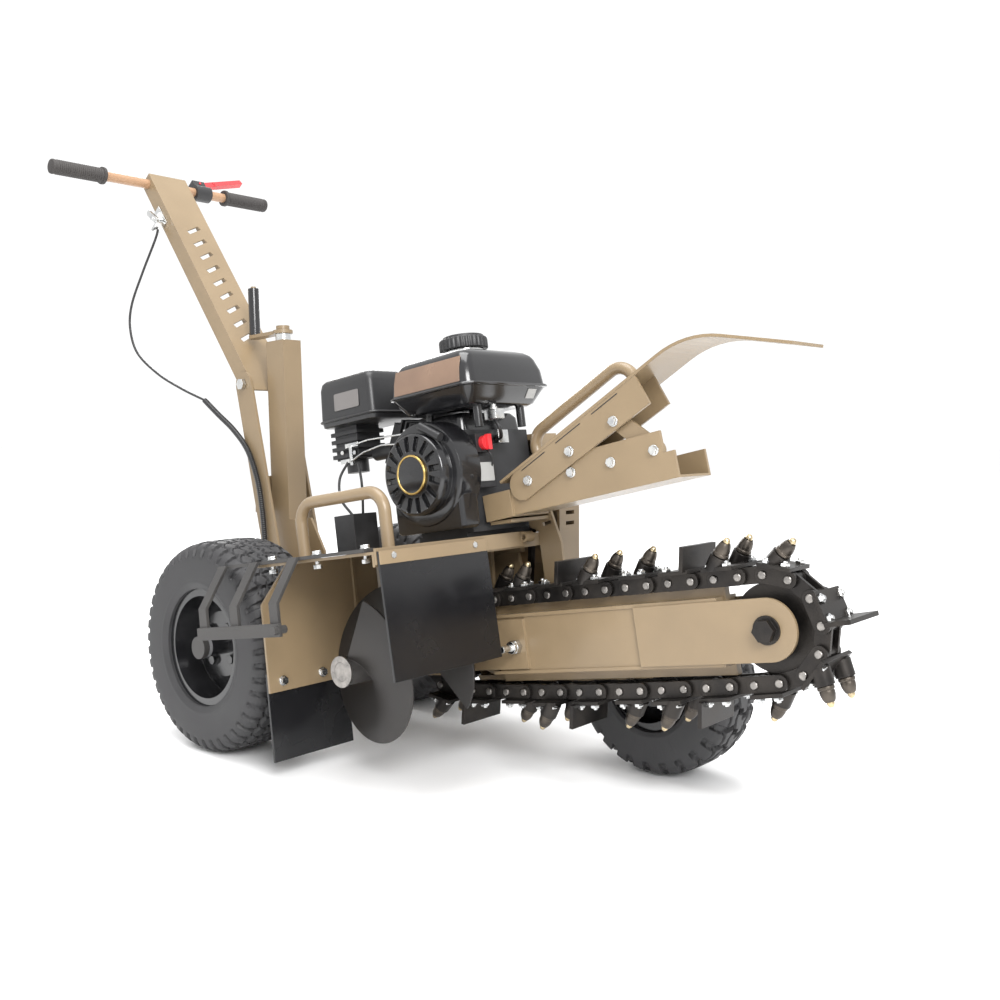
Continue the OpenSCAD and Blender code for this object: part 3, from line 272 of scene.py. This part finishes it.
def piece(name, parts, material, body, instead_of=(), sharp=35, tips=None):
    """One mesh from several (points, faces) parts. The faces of parts listed in tips take the
    second material. Faces that meet at less than the sharp angle in degrees look smooth."""
    import bmesh
    points, faces, second, start = [], [], [], 0
    for k, (p, f) in enumerate(parts):
        p = np.asarray(p).reshape(-1, 3)
        points.append(p)
        faces.extend([[int(i) + start for i in face] for face in f])
        second.extend([1 if tips and k in tips[1] else 0] * len(f))
        start += len(p)
    mesh = bpy.data.meshes.new(name)
    mesh.from_pydata(np.concatenate(points).tolist(), [], faces)
    mesh.materials.append(material)
    if tips:
        mesh.materials.append(tips[0])
        mesh.polygons.foreach_set("material_index", second)
    made = bmesh.new()
    made.from_mesh(mesh)
    bmesh.ops.recalc_face_normals(made, faces=made.faces)
    made.to_mesh(mesh)
    made.free()
    mesh.shade_smooth()
    mesh.set_sharp_from_angle(angle=np.radians(sharp))
    obj = bpy.data.objects.new(name, mesh)
    bpy.context.scene.collection.objects.link(obj)
    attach(obj, body)
    if instead_of:
        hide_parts(*instead_of)
    return obj


def smooth_step(x):
    """0 below 0, 1 above 1 and a smooth rise between."""
    x = np.clip(x, 0, 1)
    return x * x * (3 - 2 * x)


def tyre_mesh(radius, bead, width, blocks, grooves, depth, around, slot=6.5, sipe=3.0):
    """A tyre about the Y axis. Its section is a squared oval, r = mid + half cos^0.48 a and
    y = w/2 sin^0.48 a. The tread drops by depth in waved rings at the groove values of y, in
    broad slots across the shoulders and in narrower ones across the rows between."""
    mid, half = (radius + bead - 4) / 2, (radius - bead + 4) / 2
    stop = np.pi - np.arccos(((mid - bead - 10.5) / half) ** (1 / 0.48))
    a = np.concatenate([np.linspace(-stop, -0.62, 26), np.linspace(-0.6, 0.6, 67),
                        np.linspace(0.62, stop, 26)])
    r = mid + half * np.sign(np.cos(a)) * np.abs(np.cos(a)) ** 0.48
    y = width / 2 * np.sign(np.sin(a)) * np.abs(np.sin(a)) ** 0.48
    y[26:93] = np.linspace(y[25], y[93], 69)[1:-1]
    s = np.abs(y[26:93]) / (width / 2)
    r[26:93] = mid + half * (1 - s ** (2 / 0.48)) ** 0.24
    turn = np.linspace(0, 2 * np.pi, around, endpoint=False)[:, None]
    r, y = np.tile(r, (around, 1)), np.tile(y, (around, 1))
    crown = smooth_step((r - (radius - 0.30 * half)) / (0.12 * half))
    shoulder = smooth_step((r - (radius - 0.56 * half)) / (0.16 * half))
    round_turn = turn * blocks / (2 * np.pi)
    rings = np.zeros_like(r)
    for k, g in enumerate(grooves):
        waved = g + 0.022 * width * np.sin(2 * np.pi * (round_turn + 0.5 * k))
        rings = np.maximum(rings, smooth_step((3.6 - np.abs(np.abs(y) - waved)) / 1.8))
    row = np.searchsorted(np.array(grooves), np.abs(y))
    outer = row == len(grooves)
    phase = round_turn + 0.5 * row + 0.25 * (y > 0) + 0.006 * np.where(row % 2, 1, -1) * np.abs(y)
    wave = np.abs((phase % 1) - 0.5) * 2 * np.pi * radius / blocks
    slots = smooth_step((np.where(outer, slot, sipe) - wave) / 1.8)
    cut = np.maximum(rings * crown, slots * np.where(outer, shoulder, crown))
    r = r - depth * cut
    y = y - np.sign(y) * depth * 0.5 * slots * outer * shoulder * (1 - crown)
    side = smooth_step((np.abs(y) - 0.40 * width) / (0.03 * width)) * (1 - shoulder)
    level = (r - bead) / (radius - bead)
    ring = smooth_step((0.014 - np.abs(level - 0.22)) / 0.008)
    ring = np.maximum(ring, smooth_step((0.012 - np.abs(level - 0.58)) / 0.008))
    bar = smooth_step((np.abs(((turn * 36 / (2 * np.pi)) % 1) - 0.5) - 0.30) / 0.06)
    bar = bar * smooth_step((0.055 - np.abs(level - 0.40)) / 0.02) * (np.cos(4 * turn) > -0.2)
    y = y + np.sign(y) * 1.0 * side * np.maximum(ring, bar)
    points = np.stack([r * np.cos(turn), y, r * np.sin(turn)], -1)
    lip = (bead + 10.4, width / 2 - 17)
    inner = [np.stack([lip[0] * np.cos(turn[:, 0]), np.full(around, s * lip[1]),
                       lip[0] * np.sin(turn[:, 0])], -1)[:, None] for s in (-1, 1)]
    points = np.concatenate([inner[0], points, inner[1]], 1)
    return points, grid_faces(around, points.shape[1], True, True)


wheel_y, tyre_r = 246.5, 203.0
for side, name in ((-1, "right"), (1, "left")):
    tread, faces = tyre_mesh(tyre_r, 102.0, 165.0, 44, [10.0, 31.0, 52.0], 6.0, 660)
    piece(name + "_tyre_tread", [(on_deck(tread + [0, side * wheel_y, 0]), faces)], tyre_rubber,
          name + "_wheel", (name + "_tyre",), sharp=50)

# --- Front wheel --------------------------------------------------------------------------------
# A 330 mm outrigger tyre with a knobbly tread: broad slots between square blocks.
knobs, faces = tyre_mesh(165.0, 76.0, 125.0, 26, [17.0, 40.0], 8.0, 520, 8.0, 6.0)
piece("front_tyre_tread", [(on_deck(knobs + [712.25, 180.0, -149.38]), faces)], tyre_rubber,
      "front_wheel", ("front_tyre",), sharp=50)

# --- Wheel hub caps -----------------------------------------------------------------------------
# Each dished rim carries a dull grey pressed cap over the axle's end. A later section's nuts and
# bolt heads use the same turned shapes.


def turned(profile, around, flat=False):
    """A profile of (radius, place along the axis) turned about the Y axis. Its ends are closed
    where the radius is not zero, if flat is set."""
    t = np.linspace(0, 2 * np.pi, around, endpoint=False)[:, None]
    r, along = np.asarray(profile, float).T
    p = np.stack([np.cos(t) * r, np.ones_like(t) * along, np.sin(t) * r], -1)
    faces = grid_faces(around, len(r), True).tolist()
    if flat:
        faces += [[k * len(r) + e for k in range(around)] for e in (0, len(r) - 1)]
    return p, faces


def hex_head(across, high, at, stud=0.0, towards=-1):
    """A chamfered hexagon nut or bolt head standing out along Y from a place, with a stud end."""
    r = across / np.sqrt(3)
    rows = [(r * 0.97, 0), (r, 0.5), (r, high - 1.2), (r * 0.86, high)]
    p, f = turned([(a, towards * b) for a, b in rows], 6, True)
    parts = [(p + np.asarray(at, float), f)]
    if stud:
        q, g = turned([(across * 0.29, 0), (across * 0.29, towards * (high + stud - 0.8)),
                       (across * 0.24, towards * (high + stud))], 12, True)
        parts.append((q + np.asarray(at, float), g))
    return parts


hub_grey = finish_of("hub_grey", (0.16, 0.16, 0.165), (0.11, 0.11, 0.115), (0.36, 0.5), coat=0.1)
cap_foot = wheel_y + 55.0
for side, name in ((-1, "right"), (1, "left")):
    cap, cap_faces = turned([(20, 0), (20, side * 18), (17, side * 25), (0.01, side * 27)], 32)
    hub = [(on_deck(cap + [0, side * cap_foot, 0]), cap_faces)]
    piece(name + "_hub_cap", hub, hub_grey, name + "_wheel")

# --- Front flap and rear flap -------------------------------------------------------------------
# Two sheets of glossy black rubber. The front one is clamped to the front beam under a painted
# strip and bows forward a little; the rear one is bolted to the panel ahead of the right tyre.


def bowed_sheet(corner, across, down, bow, thick, swell=0.0):
    """A sheet on a 17 by 17 grid from its top corner: bow is a (dx, dz) push in the middle that
    falls off as a sine both ways, and swell adds waves along its lower edge."""
    s, t = np.meshgrid(np.linspace(0, 1, 17), np.linspace(0, 1, 17), indexing="ij")
    push = np.sin(np.pi * s) * np.sin(np.pi * np.minimum(t * 0.8, 1) * 0.8)
    wave = swell * np.sin(3 * np.pi * s + 0.6) * t * t
    base = (np.asarray(corner, float) + s[..., None] * np.asarray(across, float)
            + t[..., None] * np.asarray(down, float))
    face = base + np.stack([push * bow + wave, 0 * push, 0 * push], -1)
    back = face - np.array([thick, 0, 0])
    points = np.concatenate([face.reshape(-1, 3), back.reshape(-1, 3)])
    front = grid_faces(17, 17)
    edge = [k for k in range(17)] + [17 * k + 16 for k in range(1, 17)] \
        + [288 - k for k in range(1, 17)] + [17 * k for k in range(15, 0, -1)]
    rim = [[a, b, b + 289, a + 289] for a, b in zip(edge, edge[1:] + edge[:1])]
    return points, front.tolist() + (front[:, ::-1] + 289).tolist() + rim


points, faces = bowed_sheet((549.8, -339.5, 142.5), (0, 258.0, 0), (7.5, 0, -208.0), 3.0, 4.4, 1.2)
piece("front_flap_sheet", [(on_deck(points), faces)], flap_rubber, "frame",
      ("front_flap",))

def round_rect(length, width, radius, n=9):
    """The outline of a rectangle with rounded corners, about the origin."""
    a = np.linspace(0, np.pi / 2, n)
    out = []
    for k, (sx, sy) in enumerate(((1, 1), (-1, 1), (-1, -1), (1, -1))):
        t = a + k * np.pi / 2
        out.append(np.stack([np.cos(t) * radius + sx * (length / 2 - radius),
                             np.sin(t) * radius + sy * (width / 2 - radius)], -1))
    return np.concatenate(out)


def lofted(levels, at=(0, 0, 0)):
    """Rounded rectangles (height, length, width, corner) joined one above the other, closed at
    both ends, moved to a place."""
    rows = []
    for z, length, width, radius in levels:
        flat = round_rect(length, width, radius)
        rows.append(np.column_stack([flat, np.full(len(flat), z)]))
    p = np.array(rows) + np.asarray(at, float)
    count = p.shape[1]
    faces = grid_faces(len(levels), count, False, True).tolist()
    last = (len(levels) - 1) * count
    return p, faces + [list(range(count)), [last + k for k in range(count)]]


def bar(low, high):
    """A box between two corners in the deck's frame, with its upright edges rounded by 1 mm."""
    low, high = np.asarray(low, float), np.asarray(high, float)
    run = high - low
    levels = [(0, run[0], run[1], 1.0), (run[2], run[0], run[1], 1.0)]
    p, f = lofted(levels, ((low[0] + high[0]) / 2, (low[1] + high[1]) / 2, low[2]))
    return on_deck(p), f


piece("flap_clamp_strip", [bar((549.9, -339.5, 121.0), (552.3, -82.0, 143.0))], sand_paint,
      "frame")
points, faces = bowed_sheet((225.5, -339.5, -50.5), (0, 182.0, 0), (0.0, 0, -154.0), -1.0, 4.4, 0.4)
piece("rear_flap_sheet", [(on_deck(points), faces)], flap_rubber, "frame",
      ("rear_flap",))

# --- Spoil auger --------------------------------------------------------------------------------
# A helicoid flight, rolled over at its outer edge, on a tube that turns with the head shaft. A
# plated washer and bolt close the outer end.


def helicoid(inner, outer, y0, y1, turns, start, thick, steps):
    """A flight about the Y axis: angle = start - 360 turns t in degrees, y = y0 + (y1 - y0) t.
    Its section across is a thin rectangle with a rounded outer edge."""
    t = np.linspace(0, 1, steps + 1)[:, None]
    a = np.radians(start - 360 * turns * t)
    y = y0 + (y1 - y0 - thick) * t
    r = np.array([inner, outer - 2, outer - 0.5, outer, outer - 0.5, outer - 2, inner])
    lift = np.array([0, 0, 0.8, thick / 2, thick - 0.8, thick, thick])
    p = np.stack([np.cos(a) * r, y + lift, np.sin(a) * r], -1)
    faces = grid_faces(steps + 1, 7, False, True).tolist()
    return p, faces + [list(range(7)), [steps * 7 + k for k in range(7)]]


shaft = np.array([378.0, 0.0, -54.0])
flight, faces = helicoid(23, 136, -292, -90, 1.3, 60, 5, 190)
hub, hub_faces = turned([(16.2, -82), (25, -82), (25, -292), (24, -294), (16.2, -294)], 48)
piece("auger_flight", [(on_deck(flight + shaft), faces), (on_deck(hub + shaft), hub_faces)],
      auger_steel, "auger_shaft", ("auger",))
washer, faces = turned([(16.3, -294.3), (27, -294.3), (27, -298.2), (16.3, -298.2)], 40)
piece("auger_washer", [(on_deck(washer + shaft), faces)], worn_steel, "auger_shaft")

# --- Digging chain ------------------------------------------------------------------------------
# Rivet ends on every pin, plated nuts on every tooth's base plate, and conical bits with hard
# brass-coloured tips in their forged sockets.


def on_boom(points):
    """Millimetres along, across and square to the boom, from the head shaft, in the row frame."""
    return pitched(points, (381.79 - 242.6, 43.5, 208.80), 10.0) / 1000


def pin_place(i):
    """(along, above) of pin i of the chain: upper run, nose, sagging lower run, head."""
    k, pin_r, length = i % 44, 21 / np.sin(np.radians(15)), 672.0
    if k <= 16:
        return np.array([k * 42.0, pin_r])
    if k <= 22:
        a = np.radians(30 * (k - 16))
        return np.array([length + pin_r * np.sin(a), pin_r * np.cos(a)])
    if k <= 38:
        t = (k - 22) / 16
        return np.array([length * (1 - t), -pin_r - 32 * t * (1 - t)])
    a = np.radians(30 * (k - 38))
    return np.array([-pin_r * np.sin(a), -pin_r * np.cos(a)])


def on_link(points, i):
    """From the frame of link i, outwards positive, to the boom's frame."""
    a, b = pin_place(i), pin_place(i + 1)
    mid, turn = (a + b) / 2, np.degrees(np.arctan2(b[1] - a[1], b[0] - a[0]))
    return pitched(points, (mid[0], 0, mid[1]), turn)


rivets = []
for i in range(44):
    u, w = pin_place(i)
    for side in (-1, 1):
        dome, faces = turned([(6.6, side * 24), (6.6, side * 26.4), (5.4, side * 27.4),
                              (0.01, side * 27.7)], 14)
        rivets.append((on_boom(dome + [u, 0, w]), faces))
piece("chain_rivets", rivets, worn_steel, "boom")

nuts = []
for i in range(0, 44, 2):
    half = {0: 42, 1: 50, 2: 34}[(i // 2) % 3]
    for x in (-15, 15):
        for y in (9 - half, half - 9):
            for p, f in hex_head(13.6, 5.6, (0, 0, 0), 3.0, 1):
                p = np.stack([p[..., 0], -p[..., 2], p[..., 1]], -1)
                nuts.append((on_boom(on_link(p + np.array([x, y, 19.1]), i)), f))
piece("tooth_nuts", nuts, zinc_plate, "boom")

bit_steel = finish_of("bit_steel", (0.10, 0.085, 0.07), (0.055, 0.048, 0.042), (0.26, 0.42),
                      metallic=0.85, cloud_scale=40, grain_scale=700, bump=0.15)
hard_tip = finish_of("hard_tip", (0.62, 0.50, 0.30), (0.40, 0.33, 0.22), (0.24, 0.36),
                     metallic=1.0, cloud_scale=90)
body_rows = [(10, 9), (10, 27), (12.6, 27.2), (13, 29.5), (12.6, 32), (11.2, 32.8), (11.6, 36),
             (11.2, 40), (9.6, 46), (7.4, 50)]
tip_rows = [(5.6, 49.6), (5.9, 51.5), (5.4, 54), (3.6, 57), (1.6, 58), (0.01, 58.2)]
bits, tips = [], []
for i in range(0, 44, 2):
    k = i // 2
    spots = {0: [], 1: [-36, 36], 2: [-14 if k % 2 == 0 else 14]}[k % 3]
    for y in spots:
        for rows, hard in ((body_rows, False), (tip_rows, True)):
            p, f = turned(rows, 18)
            p = np.stack([p[..., 0], -p[..., 2], p[..., 1]], -1)
            p = pitched(p, (-12, y, 14.1), -36)
            if hard:
                tips.append(len(bits))
            bits.append((on_boom(on_link(p, i)), f))
piece("conical_bits", bits, bit_steel, "boom", ("bits",), tips=(hard_tip, tips))

# --- Trench cleaner's spring --------------------------------------------------------------------
# A black coil spring that stands on the cleaner's lower bar and presses up under its arm.


def tube(path, radius, around):
    """A round tube along a path, with the frame carried along it; radius may change."""
    path = np.asarray(path, float)
    run = np.gradient(path, axis=0)
    run /= np.linalg.norm(run, axis=1)[:, None]
    side = np.cross(run[0], [0.0, 1.0, 0.001])
    sides = []
    for t in run:
        side = side - t * (side @ t)
        side /= np.linalg.norm(side)
        sides.append(side)
    sides = np.array(sides)
    other = np.cross(run, sides)
    a = np.linspace(0, 2 * np.pi, around, endpoint=False)
    size = np.broadcast_to(radius, len(path))[:, None, None]
    ring = sides[:, None] * np.cos(a)[None, :, None] + other[:, None] * np.sin(a)[None, :, None]
    p = path[:, None] + size * ring
    faces = grid_faces(len(path), around, False, True).tolist()
    last = (len(path) - 1) * around
    return p, faces + [list(range(around)), [last + k for k in range(around)]]


def on_cleaner(points):
    """Millimetres in the trench cleaner's frame, to the row frame."""
    return on_boom(pitched(points, (222.0, 0, 227.5), 3))


turn = np.linspace(0, 9.5, 230)
coil = np.stack([100 + 11.6 * np.cos(2 * np.pi * turn), -24 + 11.6 * np.sin(2 * np.pi * turn),
                 6.5 + 84 * turn / 9.5], -1)
points, faces = tube(coil, 2.3, 8)
piece("cleaner_spring", [(on_cleaner(points), faces)], black_plastic, "boom",
      ("crumber_spring",), sharp=60)

# --- Fuel tank ----------------------------------------------------------------------------------
# A gloss-black pressed tank in two halves that meet in a flange at the waist, on four stub legs,
# with a bright filler neck, a copper-toned panel along its side and a plain label.


def upright(part):
    """A part turned about Y, stood up so that it turns about Z."""
    p, f = part
    return np.stack([p[..., 0], -p[..., 2], p[..., 1]], -1), f


def moved(part, at):
    """A part shifted in its own frame and then placed on the deck."""
    return on_deck(part[0] + np.asarray(at, float)), part[1]


tank_at = (501.0, -26.0, 380.0)
tank = [lofted([(0, 150, 176, 16), (4, 166, 192, 20), (26, 196, 219, 24), (31.4, 204, 227, 25),
                (32.2, 214, 237, 29), (34.5, 217, 240, 30), (36.8, 214, 237, 29),
                (37.6, 204, 227, 24), (64, 198, 221, 22), (86, 184, 207, 22), (93, 176, 199, 22),
                (99, 162, 185, 24), (103, 142, 165, 26), (105, 110, 132, 26)])]
for u in (-60, 60):
    for y in (-50, 70):
        leg, faces = upright(turned([(8, -37.5), (8, 6)], 20, True))
        tank.append((leg + [u, y, 0], faces))
piece("tank_shell", [moved(t, tank_at) for t in tank], gloss_black, "frame",
      ("fuel_tank",))
neck_rows = [(34, 101), (34, 110), (36.5, 111.5), (36.5, 115.8), (20, 116), (20, 101)]
neck = upright(turned(neck_rows, 56))
piece("tank_neck", [moved(neck, tank_at)], zinc_plate, "frame")


def label(name, centre, along, up, colour):
    """A blank label: a thin rounded card, given its centre and its two half sides as vectors."""
    along, up = np.asarray(along, float), np.asarray(up, float)
    flat = round_rect(2, 2, 0.12, 4)
    out = np.cross(along, up)
    out = out / np.linalg.norm(out) * 0.4
    face = np.asarray(centre, float) + flat[:, :1] * along + flat[:, 1:] * up
    count = len(face)
    p = np.concatenate([face + out, face - out])
    sides = [[k, (k + 1) % count, (k + 1) % count + count, k + count] for k in range(count)]
    faces = [list(range(count)), list(range(count, 2 * count))] + sides
    card = finish_of(name + "_card", colour, tuple(0.94 * c for c in colour), (0.3, 0.4), bump=0.0)
    return piece(name, [(on_deck(p), faces)], card, "frame")


side_line = np.array([[-140.0, 419.5], [-137.0, 443.8], [-130.0, 465.6]])
outline = np.concatenate([side_line, side_line[::-1] + [1.2, 0.0]])
ends = [np.column_stack([np.full(6, u), outline]) for u in (418, 584)]
panel_tone = finish_of("panel_tone", (0.20, 0.125, 0.082), (0.145, 0.090, 0.060), (0.2, 0.3),
                       coat=0.3, cloud_scale=9, bump=0.0)
piece("tank_side_panel", [(on_deck(np.array(ends)), grid_faces(2, 6, False, True).tolist()
                           + [list(range(6)), list(range(6, 12))])], panel_tone, "frame")
label("tank_front_label", (595.4, 40, 399.4), (0, 12, 0), (5.6, 0, 8.2), (0.34, 0.34, 0.33))

# --- Fuel cap -----------------------------------------------------------------------------------
# A black moulded cap with finger ribs round its skirt and a flat raised top.
t = np.linspace(0, 2 * np.pi, 256, endpoint=False)[:, None]
cap_r = np.array([19, 19, 44, 45.6, 46, 46, 45, 43, 40.4, 39.6, 38, 0.01])
cap_z = np.array([-13, 0.2, 0.2, 1, 3, 17, 20.5, 22, 22.4, 25.6, 26.8, 27])
rib = np.array([0, 0, 0.5, 1, 1, 1, 0.8, 0, 0, 0, 0, 0])
r = cap_r - 1.6 * rib * smooth_step((np.cos(32 * t) + 0.3) / 0.6)
points = np.stack([np.cos(t) * r, np.sin(t) * r, np.ones_like(t) * cap_z], -1)
piece("ribbed_cap", [moved((points, grid_faces(256, 12, True).tolist()), (501, -26, 496.3))],
      black_plastic, "fuel_cap", ("fuel_cap",))

# --- Air cleaner --------------------------------------------------------------------------------
# A satin moulded box in two halves with shallow ribs over its lid. The ribbed rubber duct it stands
# on is not built.
box_at = (255.0, -46.0, 396.0)
air = [lofted([(0, 146, 138, 12), (2, 154, 146, 15), (9.6, 157, 149, 16), (10.2, 163, 155, 18),
               (12.5, 166, 158, 18.5), (14.8, 163, 155, 18), (15.4, 156, 148, 12),
               (76, 152, 144, 12), (88, 148, 140, 14), (93.5, 140, 132, 16), (95.6, 128, 120, 16),
               (96, 114, 106, 16)])]
for y in (-36, -12, 12, 36):
    ridge, faces = lofted([(94, 96, 9, 4), (97.4, 92, 7, 3), (98, 88, 4, 1.9)])
    air.append((ridge + [0, y, 0], faces))
piece("air_cleaner", [moved(a, box_at) for a in air], black_plastic, "frame",
      ("air_box",))
label("air_box_label", (262, -120.0, 442), (36, 0, 0), (0, 0.8, 17), (0.16, 0.15, 0.145))

# --- Pull starter -------------------------------------------------------------------------------
# A round pressed shroud with a louvred cover and a plain badge inside a gold-coloured ring.


def louvred(profile, slots, inner, outer, deep, around):
    """A profile turned about Y whose outer face has radial slots: for radii from inner to outer
    the face drops by deep wherever |slots * angle| is in the middle part of its turn."""
    t = np.linspace(0, 2 * np.pi, around, endpoint=False)[:, None]
    r, along = np.asarray(profile, float).T
    wave = np.abs(((t * slots / (2 * np.pi) + 0.0025 * slots * r / 10) % 1) - 0.5)
    width = np.minimum(5.6 * slots / (2 * np.pi * np.maximum(r, 1)), 0.4)
    cut = smooth_step((width - wave) / 0.05) * smooth_step((r - inner) / 2) \
        * smooth_step((outer - r) / 2) * (along < -150)
    p = np.stack([np.cos(t) * r, along + deep * cut, np.sin(t) * r], -1)
    return p, grid_faces(around, len(r), True).tolist()


crank = (468.0, 0.0, 270.0)
face_r = np.concatenate([np.linspace(74, 68, 5), np.linspace(66, 26, 36), [24, 10, 0.01]])
face_y = -165 + np.concatenate([[4, 2.2, 1.0, 0.3, 0.0], np.full(36, 0.0), [0, 0, 0]])
cover = np.column_stack([np.concatenate([[74], face_r]), np.concatenate([[-135], face_y])])
shroud = turned([(40, -139), (88, -139), (92.5, -137.6), (95, -133), (95, -86.4)], 96)
skirt = lofted([(-105, 160, 40, 8), (-100, 172, 47, 10), (0, 174, 48, 10)], (-3, -110.5, 0))
piece("starter_shroud", [moved(louvred(cover, 16, 42, 69, 7.0, 448), crank), moved(shroud, crank),
                         moved(skirt, crank)], gloss_black, "frame",
      ("recoil_housing",), sharp=40)
gold = finish_of("gold_ring", (0.62, 0.44, 0.16), (0.52, 0.36, 0.12), (0.22, 0.3), metallic=1.0)
ring = turned([(36, -164), (36, -168.4), (34.8, -169.6), (32.6, -169.4), (32, -168)], 72)
disc = turned([(32.2, -168.2), (20, -169.2), (0.01, -169.8)], 48)
piece("starter_badge", [moved(ring, crank), moved(disc, crank)], gold, "frame",
      tips=(gloss_black, [1]))
label("switch_label", (552.4, -59.5, 262), (0, 19, 0), (0, 0, 17), (0.36, 0.36, 0.35))

# --- Engine fittings ----------------------------------------------------------------------------
# A pressed cooling cowl fills the space under the tank. The fuel tap, the speed control's levers
# and rod and the plated bracket on the block's front are zinc; two rubber leads drop from the
# carburettor to the box on the deck, and a fuel hose runs from the tap to the block.


def through(points, steps):
    """A smooth path through points: each stretch is a Catmull-Rom cubic cut into steps."""
    p = np.asarray(points, float)
    p = np.concatenate([2 * p[:1] - p[1:2], p, 2 * p[-1:] - p[-2:-1]])
    t = np.linspace(0, 1, steps, endpoint=False)[:, None]
    out = []
    for a, b, c, d in zip(p, p[1:], p[2:], p[3:]):
        out.append(0.5 * (2 * b + (c - a) * t + (2 * a - 5 * b + 4 * c - d) * t ** 2
                          + (3 * b - a - 3 * c + d) * t ** 3))
    return np.concatenate(out + [p[-2:-1]])


cowl = lofted([(-2, 112, 168, 14), (24, 108, 164, 14), (33, 96, 152, 16), (34, 90, 146, 16)],
              (470, 0, 342))
piece("cooling_cowl", [(on_deck(cowl[0]), cowl[1])], gloss_black, "frame")
tap, faces = upright(turned([(7, -2), (7, 7), (5, 7.4), (5, 12)], 20, True))
fittings = [bar((560, -58, 354), (588, -34, 372)), moved((tap, faces), (574, -46, 370)),
            bar((528.2, -20, 314), (556, 8, 338)), bar((222, -101, 352), (260, -98.1, 360)),
            bar((236, -104, 316), (244, -98.1, 356)), bar((206, -102, 322), (232, -98.1, 330)),
            bar((396, -106, 330), (414, -100, 362))]
for place in ((250, -98.1, 340), (214, -98.1, 344), (402, -106, 352)):
    for p, f in hex_head(9, 5, place):
        fittings.append((on_deck(p), f))
for path in ([(256, -103, 356), (300, -108, 358), (350, -110, 356), (403, -108.5, 354)],
             [(240, -104, 324), (285, -109, 336), (340, -112, 342), (398, -107, 336)]):
    line, faces = tube(path, 1.7, 8)
    fittings.append((on_deck(line), faces))
piece("control_fittings", fittings, zinc_plate, "frame")
leads = []
for path, size in (([(226, -100, 324), (212, -114, 292), (216, -119, 252), (236, -112, 219)], 2.6),
                   ([(252, -97, 320), (266, -106, 284), (262, -104, 248), (254, -100, 219)], 2.6),
                   ([(574, -46, 356), (580, -42, 336), (562, -22, 322), (526, -8, 318)], 3.4),
                   ([(550, -56, 306), (560, -52, 292), (556, -46, 278), (548, -42, 268)], 1.8)):
    points, faces = tube(through(path, 10), size, 10)
    leads.append((on_deck(points), faces))
piece("engine_leads", leads, black_plastic, "frame")

# --- Trench cleaner's stitch welds and painted gap shade ----------------------------------------
# The arm's side plates are welded under its top plate in stitches. Thin black strips between the
# stitches are painted shade: they stand for the shade that falls in the gaps between the welds.
gap_shade_strips = []
for x0, x1 in ((34, 96), (124, 186), (214, 276)):
    for y in (-57.6, 5.3):
        p, f = lofted([(14.6, x1 - x0, 0.5, 0.2), (16.2, x1 - x0, 0.5, 0.2)],
                      ((x0 + x1) / 2, y, 0))
        gap_shade_strips.append((on_cleaner(pitched(p, (14, 0, 47), 20)), f))
piece("painted_stitch_gap_shade", gap_shade_strips, black_plastic, "boom")

# --- Handle grips -------------------------------------------------------------------------------
# Soft rubber grips with fine rings, a flange at the inner end and a rounded outer end.


def on_arm(points):
    """Millimetres in the handle arm's frame, from the fold bolt, in the row frame."""
    return pitched(points, (-233 - 242.6, 43.5, 724.0), 38.6) / 1000


ribs = np.linspace(8, 120, 150)
grip_rows = [(0.01, -4), (14, -4), (17, -2.6), (18, 1)] \
    + [(17.3 + 0.7 * np.cos(2 * np.pi * a / 5.2), a) for a in ribs] \
    + [(18, 121.5), (21, 122.5), (21.2, 126), (20.6, 129.6), (12.1, 130)]
grips = []
for side in (-1, 1):
    p, f = turned([(a, side * (300 - b)) for a, b in grip_rows], 40)
    grips.append((on_arm(p + np.array([0, 0, 656.0])), f))
piece("ribbed_grips", grips, grip_rubber, "handle", ("handle_grips",), sharp=60)

# --- Cable and loom -----------------------------------------------------------------------------
# The clutch cable hangs in a bow from the handle's bracket to the corrugated loom, which runs
# down the mast to the deck.


def in_row(points):
    """Millimetres in the machine's frame, as metres in the row frame."""
    return (np.asarray(points, float) - [242.6, -43.5, 0]) / 1000


cable = through([(-569, -68, 1112.5), (-580, -69, 1088), (-634, -72, 1010), (-680, -74, 935),
                 (-686, -75, 875), (-652, -75, 812), (-560, -74, 757), (-460, -71, 718),
                 (-372, -67, 690)], 14)
points, faces = tube(in_row(cable), 0.003, 10)
hose = piece("bowed_cable", [(points, faces)], black_plastic, "frame",
             ("clutch_cable",), sharp=60)
world_place = hose.matrix_world.copy()
hose.parent = None
hose.matrix_world = world_place
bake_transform(hose)

loom = through([(-371.4, -67, 689.6), (-318, -66, 656), (-258, -65.6, 620), (-206, -65.6, 575),
                (-170, -65.6, 510), (-152, -65.6, 440), (-144, -65.6, 380), (-141, -65.6, 345),
                (-140.5, -65.6, 327)], 60)
step = np.concatenate([[0], np.cumsum(np.linalg.norm(np.diff(loom, axis=0), axis=1))])
even = np.arange(0, step[-1], 1.1)
loom = np.stack([np.interp(even, step, loom[:, k]) for k in range(3)], -1)
points, faces = tube(in_row(loom), 0.0058 + 0.0007 * np.sin(2 * np.pi * even / 4.4), 12)
piece("ribbed_loom", [(points, faces)], black_plastic, "frame",
      ("wiring_loom",), sharp=60)
